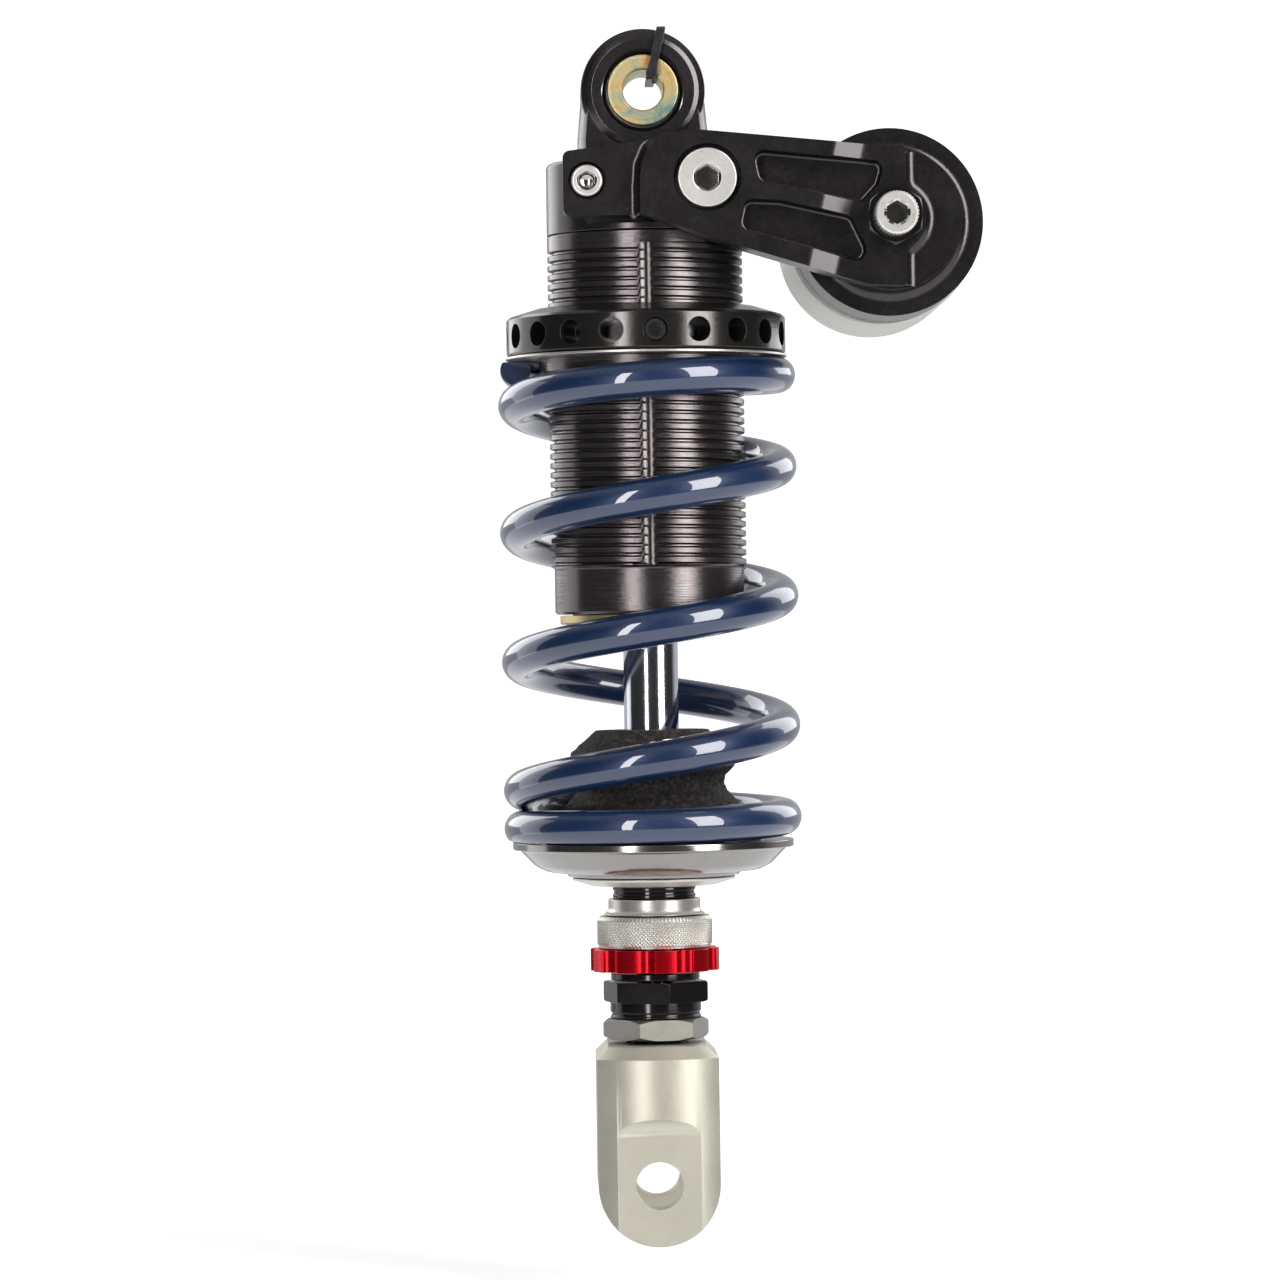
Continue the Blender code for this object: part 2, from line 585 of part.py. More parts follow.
def adjuster_stack():
    """The housing on the rod's end with its collar, knurled ring, red knob and retainer."""
    housing = turned("adjuster_housing", [
        (0.0, -224.3), (ROD_BORE, -224.3), (ROD_BORE, -216.0), (ROD_RADIUS + GAP, -216.0),
        (ROD_RADIUS + GAP, HOUSING_TOP), (10.65, HOUSING_TOP), (10.65, -205.9),
        (CORE_RADIUS, -205.9), (CORE_RADIUS, CORE_BOTTOM), (4.5, CORE_BOTTOM), (4.5, -237.6),
        (0.0, -237.6),
    ], BLACK_ANODISED)
    combine(housing, "DIFFERENCE", box("pin_slot_cut", (-12, -1.3, PIN_HEIGHT - PIN_ROOM),
                                       (12, 1.3, PIN_HEIGHT + PIN_ROOM)))
    turned("adjuster_collar", [
        (SLEEVE_BORE, -210.2), (SLEEVE_BORE, -206.2), (11.8, -206.2), (11.8, -209.2),
        (12.2, -209.8), (13.2, -210.2),
    ], SATIN_SILVER)
    turned("knurled_ring", [
        (SLEEVE_BORE, -218.5), (SLEEVE_BORE, -210.6), (14.0, -210.6), (14.85, -211.4),
        (14.85, -218.0), (14.4, -218.5),
    ], SATIN_SILVER)
    land, groove = 20.0, 16.0
    outline = []
    for i in range(KNOB_LOBES):
        middle = KNOB_TURN - 90.0 + 36.0 * i
        outline += arc((0, 0), KNOB_RADIUS, middle - land / 2, middle + land / 2, 2)
        outline += arc((0, 0), KNOB_RADIUS - 1.7, middle + land / 2 + 4.5,
                       middle + land / 2 + groove - 4.5, 2)
    knob = extruded("rebound_knob", outline, "Z", KNOB_BOTTOM, KNOB_TOP, RED)
    bore = turned("knob_bore_cut", [
        (0.0, -210.0), (SLEEVE_BORE, -210.0), (SLEEVE_BORE, PIN_HEIGHT + PIN_ROOM),
        (10.4, PIN_HEIGHT + PIN_ROOM), (10.4, PIN_HEIGHT - PIN_ROOM),
        (SLEEVE_BORE, PIN_HEIGHT - PIN_ROOM), (SLEEVE_BORE, -230.0), (0.0, -230.0),
    ])
    combine(knob, "DIFFERENCE", bore)
    ring("knob_retainer", 4.8, 11.4, CORE_BOTTOM - GAP, -227.0, BLACK_ANODISED)


def length_adjuster():
    """The hex adjuster with its hollow stud, the nut that holds it and the lock nut."""
    adjuster = extruded("length_adjuster", hexagon(HEX_FLATS, 14.0), "Z", HEX_BOTTOM, HEX_TOP,
                        BLACK_ANODISED)
    stud = turned("stud_form", [
        (0.0, HEX_BOTTOM + 1.0), (11.65, HEX_BOTTOM + 1.0), (11.65, NUT_TOP + GAP),
        (STUD_RADIUS, NUT_TOP + GAP), (STUD_RADIUS, STUD_BOTTOM), (0.0, STUD_BOTTOM),
    ])
    combine(adjuster, "UNION", stud)
    bore = turned("stud_bore_cut", [
        (0.0, -220.0), (4.8, -220.0), (4.8, -232.2), (6.2, -232.2), (6.2, -270.0), (0.0, -270.0),
    ], steps=STEPS_SMALL)
    combine(adjuster, "DIFFERENCE", bore)
    ring("swivel_nut", 4.8, 5.9, -232.6, -237.2, STEEL, steps=STEPS_SMALL)
    nut = extruded("lock_nut", hexagon(HEX_FLATS, -18.5), "Z", NUT_BOTTOM, NUT_TOP, STAINLESS)
    crown = turned("nut_crown_form", [
        (0.0, NUT_TOP + 1.0), (12.2, NUT_TOP + 0.4), (14.2, NUT_TOP - 0.8),
        (14.2, NUT_BOTTOM + 0.8), (12.2, NUT_BOTTOM - 0.4), (0.0, NUT_BOTTOM - 1.0),
    ])
    combine(nut, "INTERSECT", crown)
    combine(nut, "DIFFERENCE", bar("lock_nut_bore_cut", STUD_RADIUS + GAP, (0, 0, -230),
                                   (0, 0, -250), sides=STEPS_MEDIUM))


def clevis():
    """The lower fork: turned, milled on four sides, slotted, drilled and bored for the stud."""
    bottom = CLEVIS_BOLT_HEIGHT - CLEVIS_HALF_WIDTH
    fork = turned("clevis", [
        (0.0, CLEVIS_TOP), (CLEVIS_TURNED - CLEVIS_CHAMFER, CLEVIS_TOP),
        (CLEVIS_TURNED, CLEVIS_TOP - CLEVIS_CHAMFER), (CLEVIS_TURNED, bottom - 4.0),
        (0.0, bottom - 4.0),
    ], CHAMPAGNE, STEPS_LARGE)
    half, chamfer = CLEVIS_HALF_WIDTH, CLEVIS_CHAMFER
    over = 1.0
    face = [(half, CLEVIS_TOP - chamfer), (half - chamfer - over, CLEVIS_TOP + over),
            (chamfer + over - half, CLEVIS_TOP + over), (-half, CLEVIS_TOP - chamfer)]
    face += arc((0.0, CLEVIS_BOLT_HEIGHT), half, 180.0, 360.0, 15)
    combine(fork, "INTERSECT", extruded("fork_face_form", face, "Y", -30.0, 30.0))
    for side, sign in (("front", -1), ("rear", 1)):
        flat = [(sign * 40.0, bottom - 5.0), (sign * CLEVIS_EAR_FACE, bottom - 5.0)]
        centre = (sign * (CLEVIS_EAR_FACE + CLEVIS_RAMP), CLEVIS_FLAT_TOP)
        ramp = arc(centre, CLEVIS_RAMP, 0.0, 90.0, 5)
        if sign < 0:
            flat += ramp
        else:
            flat += [(2 * centre[0] - y, z) for y, z in ramp]
        flat.append((sign * 40.0, CLEVIS_FLAT_TOP + CLEVIS_RAMP))
        combine(fork, "DIFFERENCE", extruded(f"ear_flat_cut_{side}", flat, "X", -30.0, 30.0))
    corner = 3.0
    slot = [(-CLEVIS_SLOT, bottom - 6.0), (CLEVIS_SLOT, bottom - 6.0)]
    slot += arc((CLEVIS_SLOT - corner, CLEVIS_SLOT_TOP - corner), corner, 0.0, 90.0, 3)
    slot += arc((corner - CLEVIS_SLOT, CLEVIS_SLOT_TOP - corner), corner, 90.0, 180.0, 3)
    fork_slot = extruded("fork_slot_cut", slot, "X", -30.0, 30.0)
    bolt = bar("fork_bolt_cut", CLEVIS_BOLT_RADIUS, (0, -30, CLEVIS_BOLT_HEIGHT),
               (0, 30, CLEVIS_BOLT_HEIGHT), sides=24)
    stud = bar("stud_room_cut", STUD_RADIUS + GAP, (0, 0, CLEVIS_TOP + 5), (0, 0, -270),
               sides=STEPS_MEDIUM)
    combine(fork, "DIFFERENCE", fork_slot, bolt, stud)


def reservoir_bracket():
    """The machined arm: a block on the head, a pocketed arm and the reservoir's front cap."""
    centre = (RESERVOIR_X, 0.0, RESERVOIR_Z)
    cap = turned("reservoir_bracket", [
        (0.0, -2.0), (RESERVOIR_BORE + 1.1, -2.0), (RESERVOIR_BORE + 1.1, FLANGE_BACK),
        (FLANGE_RADIUS, FLANGE_BACK), (FLANGE_RADIUS, FLANGE_FRONT - 0.6),
        (FLANGE_RADIUS - 0.6, FLANGE_FRONT), (DISC_RADIUS + 2.4, FLANGE_FRONT),
        (DISC_RADIUS + 0.7, FLANGE_FRONT + 0.7), (DISC_RADIUS, FLANGE_FRONT + 2.4),
        (DISC_RADIUS, DISC_FRONT), (0.0, DISC_FRONT),
    ][::-1], BLACK_ANODISED, STEPS_LARGE, centre, forward=True)
    arm_outline = [
        (-1.5, -33.4), (24.4, -42.3), (55.4, -51.8), (ARM_END, -52.2), (ARM_END, -17.4),
        (49.7, -16.3), (13.6, -12.7), (3.6, -13.6), (-1.5, -14.9),
    ]
    arm = extruded("arm_form", arm_outline, "Y", ARM_BACK, ARM_FRONT)
    block_outline = rounded([(-20.8, -33.4), (0.0, -33.4), (0.0, -14.8), (-20.8, -17.3)], 1.8)
    block = extruded("block_form", block_outline, "Y", ARM_BACK, BLOCK_FRONT)
    boss = bar("boss_form", BOSS_RADIUS, (RESERVOIR_X, -20, RESERVOIR_Z),
               (RESERVOIR_X, -ARM_TIP_FRONT, RESERVOIR_Z), sides=STEPS_MEDIUM)
    drop = ARM_FRONT - ARM_TIP_FRONT
    slope = extruded("arm_slope_cut", [
        (0.0, -ARM_FRONT), (ARM_SLOPE_LENGTH, drop - ARM_FRONT), (40.0, drop - ARM_FRONT),
        (40.0, -45.0), (0.0, -45.0),
    ], "Z", -40.0, 40.0)
    x, z = ARM_SLOPE_START
    slope.data.transform(Matrix.Translation((x * MM, 0.0, z * MM))
                         @ Matrix.Rotation(math.radians(ARM_SLOPE_TURN), 4, "Y"))
    combine(arm, "DIFFERENCE", slope)
    combine(cap, "UNION", arm, block, boss)
    relief = bar("arm_relief_cut", HEAD_RADIUS + 0.5, (0, 0, -60), (0, 0, HEAD_BOTTOM + GAP),
                 sides=STEPS_LARGE)
    combine(cap, "DIFFERENCE", relief)
    upper = [(26.2, -17.4), (60.0, -21.0), (58.4, -26.6), (54.0, -31.4), (28.0, -25.6)]
    lower = [(24.5, -29.9), (33.5, -30.4), (51.4, -34.6), (57.4, -47.4), (22.8, -37.4)]
    for name, corners in (("upper", upper), ("lower", lower)):
        pocket = extruded(f"{name}_pocket_cut", rounded(corners, POCKET_CORNER), "Y",
                          POCKET_FLOOR, 45.0)
        combine(cap, "DIFFERENCE", pocket)
    drills = (
        ("small_counterbore", 4.7, SMALL_SCREW_X, SCREW_HEIGHT, -45.0, -25.4, 24),
        ("small_clearance", 2.8, SMALL_SCREW_X, SCREW_HEIGHT, -45.0, -15.0, 12),
        ("large_counterbore", 8.5, LARGE_SCREW_X, SCREW_HEIGHT, -45.0, -30.6, 32),
        ("large_clearance", 4.3, LARGE_SCREW_X, SCREW_HEIGHT, -45.0, -15.0, 16),
        ("valve_bore", 5.3, RESERVOIR_X, RESERVOIR_Z, -45.0, -1.0, STEPS_SMALL),
    )
    for name, radius, x, z, front, back, sides in drills:
        drill = bar(f"{name}_cut", radius, (x, front, z), (x, back, z), sides=sides)
        combine(cap, "DIFFERENCE", drill)


def bracket_screws():
    """The two screws that hold the arm to the head."""
    small = (SMALL_SCREW_X, 0.0, SCREW_HEIGHT)
    head = turned("bracket_screw_small", [
        (0.0, 29.8), (3.6, 29.8), (4.0, 29.4), (4.0, 25.7), (2.5, 25.7), (2.5, 10.5), (0.0, 10.5),
    ], STAINLESS, STEPS_SMALL, small, forward=True)
    combine(head, "DIFFERENCE", bar("small_socket_cut", 2.3, (SMALL_SCREW_X, -32, SCREW_HEIGHT),
                                    (SMALL_SCREW_X, -27.2, SCREW_HEIGHT), sides=6))
    large = (LARGE_SCREW_X, 0.0, SCREW_HEIGHT)
    head = turned("bracket_screw_large", [
        (0.0, 34.6), (7.1, 34.6), (7.4, 34.3), (7.4, 30.9), (4.0, 30.9), (4.0, 8.5), (0.0, 8.5),
    ], STAINLESS, STEPS_MEDIUM, large, forward=True)
    combine(head, "DIFFERENCE", bar("large_socket_cut", 3.5, (LARGE_SCREW_X, -37, SCREW_HEIGHT),
                                    (LARGE_SCREW_X, -31.4, SCREW_HEIGHT), sides=6))


def compression_valve():
    """The hex valve body on the reservoir's axis, its knurled adjuster and its needle."""
    centre = (RESERVOIR_X, 0.0, RESERVOIR_Z)
    body = bar("compression_valve_body", VALVE_FLATS / 2 / math.cos(math.pi / 6),
               (RESERVOIR_X, -ARM_TIP_FRONT - GAP, RESERVOIR_Z),
               (RESERVOIR_X, -VALVE_FRONT, RESERVOIR_Z), BLACK_ANODISED, 6)
    stem = turned("valve_stem_form", [
        (0.0, VALVE_FRONT - 1.0), (5.0, VALVE_FRONT - 1.0), (5.0, 4.0), (0.0, 4.0),
    ], None, STEPS_SMALL, centre, forward=True)
    combine(body, "UNION", stem)
    bore = turned("valve_bore_form", [
        (0.0, 50.0), (2.6, 50.0), (2.6, 12.0), (1.4, 9.0), (1.4, 0.0), (0.0, 0.0),
    ], None, STEPS_SMALL, centre, forward=True)
    combine(body, "DIFFERENCE", bore)
    knob = turned("compression_adjuster", [
        (0.0, 44.4), (5.0, 44.4), (5.5, 43.9), (5.5, VALVE_FRONT + 0.7), (5.1, VALVE_FRONT + GAP),
        (2.3, VALVE_FRONT + GAP), (2.3, 31.0), (0.0, 31.0),
    ], STAINLESS, STEPS_MEDIUM, centre, forward=True)
    combine(knob, "DIFFERENCE", bar("adjuster_socket_cut", 2.9, (RESERVOIR_X, -46, RESERVOIR_Z),
                                    (RESERVOIR_X, -41.0, RESERVOIR_Z), sides=6))
    turned("compression_needle", [
        (0.0, 29.6), (2.2, 29.6), (2.2, 16.0), (0.6, 12.6), (0.0, 12.6),
    ], STEEL, STEPS_SMALL, centre, forward=True)


def reservoir():
    """The gas reservoir behind its cap: tube, floating piston, end cap, rings and filling valve."""
    place = {"centre": (RESERVOIR_X, 0.0, RESERVOIR_Z), "forward": True}
    turned("reservoir_tube", [
        (RESERVOIR_BORE, RESERVOIR_REAR), (RESERVOIR_BORE, -2.4), (RESERVOIR_BORE + 0.8, -2.4),
        (RESERVOIR_BORE + 0.8, -15.0), (RESERVOIR_RADIUS - 0.4, -15.0), (RESERVOIR_RADIUS, -15.4),
        (RESERVOIR_RADIUS, RESERVOIR_REAR + 1.0), (RESERVOIR_RADIUS - 1.0, RESERVOIR_REAR),
    ], SATIN_SILVER, STEPS_LARGE, **place)
    ring("reservoir_seal_ring", RESERVOIR_BORE + 1.1, 22.9, FLANGE_BACK - GAP, -14.7, RUBBER,
         steps=STEPS_LARGE, **place)
    turned("floating_piston", [
        (0.0, -30.0), (15.0, -30.0), (15.0, -27.0), (RESERVOIR_BORE - GAP, -27.0),
        (RESERVOIR_BORE - GAP, -30.6), (19.0, -30.6), (19.0, -33.4), (RESERVOIR_BORE - GAP, -33.4),
        (RESERVOIR_BORE - GAP, -37.0), (0.0, -37.0),
    ], CHAMPAGNE, **place)
    ring("floating_piston_ring", 19.3, RESERVOIR_BORE - GAP, -30.9, -33.1, RUBBER, **place)
    turned("reservoir_end_cap", [
        (5.4, -68.0), (5.4, -62.0), (RESERVOIR_BORE - GAP, -62.0), (RESERVOIR_BORE - GAP, -63.4),
        (19.2, -63.4), (19.2, -65.6), (RESERVOIR_BORE - GAP, -65.6), (RESERVOIR_BORE - GAP, -67.2),
        (18.0, -67.2), (17.2, -68.0),
    ], BLACK_ANODISED, **place)
    ring("end_cap_seal", 19.5, RESERVOIR_BORE - GAP, -63.7, -65.3, RUBBER, **place)
    ring("end_cap_circlip", 18.4, RESERVOIR_BORE - GAP, -67.5, -68.7, STEEL, **place)
    turned("gas_valve", [
        (0.0, -58.0), (3.6, -58.0), (3.6, -61.7), (5.1, -61.7), (5.1, -66.0), (3.8, -67.0),
        (3.8, -71.0), (0.0, -71.0),
    ], STEEL, STEPS_SMALL, **place)
    turned("gas_valve_cap", [
        (4.1, -68.8), (6.0, -68.8), (6.0, -74.6), (5.4, -75.2), (0.0, -75.2),
        (0.0, -71.4), (4.1, -71.4),
    ], BLACK_ANODISED, STEPS_SMALL, **place)


top_eye()
cable_tie()
damper_tube()
coil_spring()
preload_collar()
piston_group()
lower_seat()
adjuster_stack()
length_adjuster()
clevis()
reservoir_bracket()
bracket_screws()
compression_valve()
reservoir()
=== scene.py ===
"""Looks of the coilover: fine meshes, procedural finishes, a plain studio and the camera.

Lengths are in millimetres; MM turns them into metres when a mesh is made. Heights are Z. A piece
turned about an axis along Y has forward heights: a forward height of 10 lies at Y = -10.
"""
import json
import math
from contextlib import contextmanager

import bmesh
import bpy
import numpy as np
from mathutils import Matrix, Vector, noise

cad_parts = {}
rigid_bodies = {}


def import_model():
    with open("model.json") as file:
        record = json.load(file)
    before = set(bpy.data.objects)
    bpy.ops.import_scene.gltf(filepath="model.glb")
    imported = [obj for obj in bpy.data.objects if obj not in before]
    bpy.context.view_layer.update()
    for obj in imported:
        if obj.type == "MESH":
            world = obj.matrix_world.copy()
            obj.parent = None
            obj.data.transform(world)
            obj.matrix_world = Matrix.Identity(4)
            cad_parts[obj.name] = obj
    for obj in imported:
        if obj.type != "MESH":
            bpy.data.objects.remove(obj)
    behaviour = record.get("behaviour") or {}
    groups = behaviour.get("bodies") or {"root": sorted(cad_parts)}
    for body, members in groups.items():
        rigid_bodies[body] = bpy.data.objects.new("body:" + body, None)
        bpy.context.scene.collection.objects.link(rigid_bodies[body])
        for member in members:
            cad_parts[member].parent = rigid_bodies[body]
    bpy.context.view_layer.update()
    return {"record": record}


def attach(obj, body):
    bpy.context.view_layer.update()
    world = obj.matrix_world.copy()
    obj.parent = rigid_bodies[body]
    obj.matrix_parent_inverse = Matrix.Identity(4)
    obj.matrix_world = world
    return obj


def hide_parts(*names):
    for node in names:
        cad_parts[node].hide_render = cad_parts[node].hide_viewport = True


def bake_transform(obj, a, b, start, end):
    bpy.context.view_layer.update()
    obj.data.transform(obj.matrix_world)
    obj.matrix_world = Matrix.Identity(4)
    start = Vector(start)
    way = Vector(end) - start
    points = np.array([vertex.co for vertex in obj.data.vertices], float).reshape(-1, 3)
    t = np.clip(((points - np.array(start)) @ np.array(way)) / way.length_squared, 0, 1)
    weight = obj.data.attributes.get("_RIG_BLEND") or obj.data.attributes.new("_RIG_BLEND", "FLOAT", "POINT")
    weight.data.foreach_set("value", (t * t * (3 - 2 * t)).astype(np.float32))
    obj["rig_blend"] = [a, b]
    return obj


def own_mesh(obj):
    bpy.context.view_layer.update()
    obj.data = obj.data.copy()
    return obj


for item in list(bpy.data.objects):
    bpy.data.objects.remove(item, do_unlink=True)

MM = 0.001
TAU = 2.0 * math.pi

# The reservoir's axis, and the one that the shock is turned about.
RX, RZ = 62.0, -34.8
ORIGIN = (0.0, 0.0, 0.0)

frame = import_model()
BODY_OF = {
    node: body
    for body, nodes in frame["record"]["behaviour"]["bodies"].items()
    for node in nodes
}


# ---- Finishes ----

def feed(tree, node, inputs):
    """Sets each of a node's inputs to a value, or links it to another node's output."""
    for key, value in inputs.items():
        if isinstance(value, bpy.types.NodeSocket):
            tree.links.new(value, node.inputs[key])
        else:
            node.inputs[key].default_value = value


def add(tree, kind, inputs=None, **settings):
    """Adds a shader node, sets its settings, and sets or links its inputs."""
    made = tree.nodes.new(kind)
    for key, value in settings.items():
        setattr(made, key, value)
    feed(tree, made, inputs or {})
    return made


def shade(colour, factor):
    return tuple(min(channel * factor, 1.0) for channel in colour) + (1.0,)


def material_base(name):
    material = bpy.data.materials.new(name)
    material.use_nodes = True
    tree = material.node_tree
    shader = tree.nodes["Principled BSDF"]
    coords = add(tree, "ShaderNodeTexCoord").outputs["Object"]
    return material, tree, shader, coords


def noisy(tree, coords, scale, detail, roughness=0.5, distortion=0.0):
    return add(tree, "ShaderNodeTexNoise", {
        "Vector": coords, "Scale": scale, "Detail": detail, "Roughness": roughness,
        "Distortion": distortion}).outputs[0]


def cells(tree, coords, scale):
    return add(tree, "ShaderNodeTexVoronoi", {"Vector": coords, "Scale": scale}).outputs["Distance"]


def remap(tree, value, start, end, low, high, **settings):
    return add(tree, "ShaderNodeMapRange", {
        "Value": value, "From Min": start, "From Max": end, "To Min": low, "To Max": high},
        **settings).outputs[0]


def maths(tree, operation, first, second):
    return add(tree, "ShaderNodeMath", {0: first, 1: second}, operation=operation).outputs[0]


def raised(tree, height, strength, distance, under=None):
    """A bump, on top of another one if that is given."""
    inputs = {"Height": height, "Strength": strength, "Distance": distance}
    if under is not None:
        inputs["Normal"] = under
    return add(tree, "ShaderNodeBump", inputs).outputs[0]


def coloured(tree, shader, factor, first, last, *between):
    """Feeds the base colour from a ramp with the given (place, colour) stops."""
    ramp = add(tree, "ShaderNodeValToRGB", {0: factor})
    stops = ramp.color_ramp.elements
    for stop, (place, colour) in zip(list(stops), (first, last)):
        stop.position, stop.color = place, colour
    for place, colour in between:
        stops.new(place).color = colour
    feed(tree, shader, {"Base Color": ramp.outputs[0]})


def distance_from(tree, u, v):
    flat = add(tree, "ShaderNodeCombineXYZ", {0: u, 1: v, 2: 0.0}).outputs[0]
    return add(tree, "ShaderNodeVectorMath", {0: flat}, operation="LENGTH").outputs["Value"]


def around(tree, coords, axis, centre=(0.0, 0.0)):
    """Coordinates (distance from an axis, place along it), the same all round a turned piece."""
    parts = add(tree, "ShaderNodeSeparateXYZ", {0: coords}).outputs
    across, along = ("Y", "Z") if axis == "Z" else ("Z", "Y")
    reach = distance_from(tree, maths(tree, "SUBTRACT", parts["X"], centre[0] * MM),
                          maths(tree, "SUBTRACT", parts[across], centre[1] * MM))
    return add(tree, "ShaderNodeCombineXYZ", {0: reach, 1: parts[along], 2: 0.0}).outputs[0]


def metal(name, colour, roughness, metallic, tint=None, mottle=0.12, spread=0.05,
          grain=0.0, grain_scale=2500.0, lines=0.0, line_scale=1600.0, axis="Z",
          centre=(0.0, 0.0), patch_scale=60.0):
    """A machined, anodised or plated metal.

    mottle varies the colour, spread the roughness; grain is a blasted texture, and lines are
    the fine rings that turning leaves.
    """
    material, tree, shader, coords = material_base(name)
    blend = maths(tree, "ADD", noisy(tree, coords, patch_scale, 6.0, 0.6),
                  noisy(tree, coords, 900.0, 4.0, 0.7))
    level = remap(tree, blend, 0.7, 1.3, 0.0, 1.0)
    coloured(tree, shader, level, (0.0, shade(colour, 1.0 - mottle)),
             (1.0, shade(tint or colour, 1.0 + mottle)))
    normal = None
    if lines:
        rings = noisy(tree, around(tree, coords, axis, centre), line_scale, 3.0, 0.65)
        normal = raised(tree, rings, lines, 0.00006)
    if grain:
        normal = raised(tree, noisy(tree, coords, grain_scale, 3.0, 0.7), grain, 0.00008, normal)
    if normal is not None:
        feed(tree, shader, {"Normal": normal})
    rough = remap(tree, level, 0.0, 1.0, roughness - spread, roughness + spread)
    feed(tree, shader, {"Roughness": rough, "Metallic": metallic})
    return material


def zinc():
    """Yellow passivated zinc: gold with drifting teal, rose and orange."""
    material, tree, shader, coords = material_base("yellow_zinc_passivated")
    coloured(tree, shader, noisy(tree, coords, 95.0, 3.0, 0.55, 0.8),
             (0.30, (0.20, 0.36, 0.33, 1.0)), (0.72, (0.78, 0.50, 0.22, 1.0)),
             (0.41, (0.48, 0.56, 0.40, 1.0)), (0.5, (0.75, 0.64, 0.33, 1.0)),
             (0.58, (0.80, 0.60, 0.26, 1.0)), (0.65, (0.74, 0.38, 0.15, 1.0)))
    rings = noisy(tree, around(tree, coords, "Y"), 1500.0, 2.0)
    feed(tree, shader, {"Roughness": remap(tree, rings, 0.3, 0.7, 0.27, 0.4),
                        "Normal": raised(tree, rings, 0.35, 0.00006), "Metallic": 0.75})
    return material


def spring_paint():
    """Deep blue powder coat under clear: fine flake, slight orange peel."""
    material, tree, shader, coords = material_base("spring_gloss_blue")
    cloud = noisy(tree, coords, 45.0, 5.0)
    coloured(tree, shader, maths(tree, "MULTIPLY", cells(tree, coords, 2600.0), cloud),
             (0.05, (0.001, 0.012, 0.048, 1.0)), (0.55, (0.003, 0.028, 0.100, 1.0)))
    peel = raised(tree, noisy(tree, coords, 420.0, 2.0), 0.06, 0.00012)
    feed(tree, shader, {"Roughness": remap(tree, cloud, 0.3, 0.7, 0.3, 0.42), "Normal": peel,
                        "Coat Normal": peel, "Metallic": 0.2, "Coat Weight": 1.0,
                        "Coat Roughness": 0.02, "Coat IOR": 1.75})
    return material


def foam():
    """Dark polyurethane foam with an open, torn skin."""
    material, tree, shader, coords = material_base("foam_torn_skin")
    broad = noisy(tree, coords, 700.0, 8.0, 0.8)
    coloured(tree, shader, broad, (0.46, (0.002, 0.0018, 0.0018, 1.0)),
             (0.68, (0.10, 0.085, 0.075, 1.0)))
    height = maths(tree, "MULTIPLY", cells(tree, coords, 1900.0), broad)
    feed(tree, shader, {"Roughness": remap(tree, broad, 0.3, 0.7, 0.6, 0.95),
                        "Normal": raised(tree, height, 1.0, 0.0006)})
    return material


def polymer(name, colour, roughness, scale=700.0, strength=0.2):
    """Moulded nylon, rubber or PTFE with a faint mould texture."""
    material, tree, shader, coords = material_base(name)
    specks = noisy(tree, coords, scale, 5.0, 0.65)
    coloured(tree, shader, specks, (0.3, shade(colour, 0.7)), (0.7, shade(colour, 1.4)))
    rough = remap(tree, specks, 0.3, 0.7, roughness - 0.08, roughness + 0.08)
    feed(tree, shader, {"Roughness": rough, "Normal": raised(tree, specks, strength, 0.0001)})
    return material


BLACK_MILLED = metal("black_anodised_milled", (0.066, 0.061, 0.062), 0.24, 0.88, mottle=0.10,
                     spread=0.04, grain=0.04, patch_scale=120.0)
BLACK_HEAD = metal("black_anodised_head", (0.085, 0.078, 0.080), 0.24, 0.9, mottle=0.12,
                   spread=0.04, grain=0.08, lines=0.25, line_scale=2200.0, axis="Y")
BLACK_TURNED = metal("black_anodised_turned", (0.135, 0.122, 0.122), 0.20, 0.9, mottle=0.12,
                     spread=0.03, lines=0.9, line_scale=3600.0, patch_scale=60.0)
BLACK_TURNED_Y = metal("black_anodised_faced", (0.10, 0.09, 0.09), 0.24, 0.85, mottle=0.15,
                       lines=0.6, line_scale=3000.0, axis="Y", centre=(RX, RZ))
BLACK_GLOSS = metal("black_anodised_gloss", (0.050, 0.047, 0.047), 0.13, 0.85, mottle=0.12,
                    spread=0.02, lines=0.12)
BLACK_COLLAR = metal("black_anodised_collar", (0.085, 0.082, 0.079), 0.16, 0.9, mottle=0.10,
                     spread=0.03, lines=0.5, line_scale=2600.0)
SEAT_BLACK = metal("seat_black_turned", (0.33, 0.322, 0.305), 0.15, 0.96, mottle=0.06,
                   spread=0.02, lines=0.25, line_scale=2600.0)
SATIN_SILVER = metal("silver_satin_turned", (0.62, 0.60, 0.55), 0.32, 0.8, mottle=0.05,
                     lines=0.6, line_scale=2400.0, grain=0.1)
KNURLED_SILVER = metal("silver_knurled", (0.58, 0.565, 0.52), 0.32, 0.85, mottle=0.04, spread=0.02)
TUBE_SILVER = metal("silver_satin_tube", (0.56, 0.55, 0.50), 0.38, 0.7, mottle=0.05, lines=0.5,
                    grain=0.2, axis="Y", centre=(RX, RZ))
CHAMPAGNE = metal("champagne_blasted", (0.60, 0.585, 0.485), 0.38, 0.7, mottle=0.04, grain=0.4,
                  grain_scale=3200.0, lines=0.3, line_scale=1500.0)
GOLD = metal("gold_anodised", (0.66, 0.54, 0.30), 0.34, 0.75, mottle=0.08, lines=0.4)
SCREW_STEEL = metal("stainless_bright", (0.76, 0.75, 0.71), 0.30, 0.6, mottle=0.05, spread=0.04,
                    grain=0.12)
# Darker, glossier copy of the stainless steel for the faces inside hex sockets: its darker base colour is
# painted shade in the recess, and its lower roughness and full metallic make it glossier.
SOCKET_STEEL_PAINTED_SHADE = metal("stainless_socket", (0.50, 0.485, 0.45), 0.16, 1.0, mottle=0.08, spread=0.03,
                     lines=0.2)
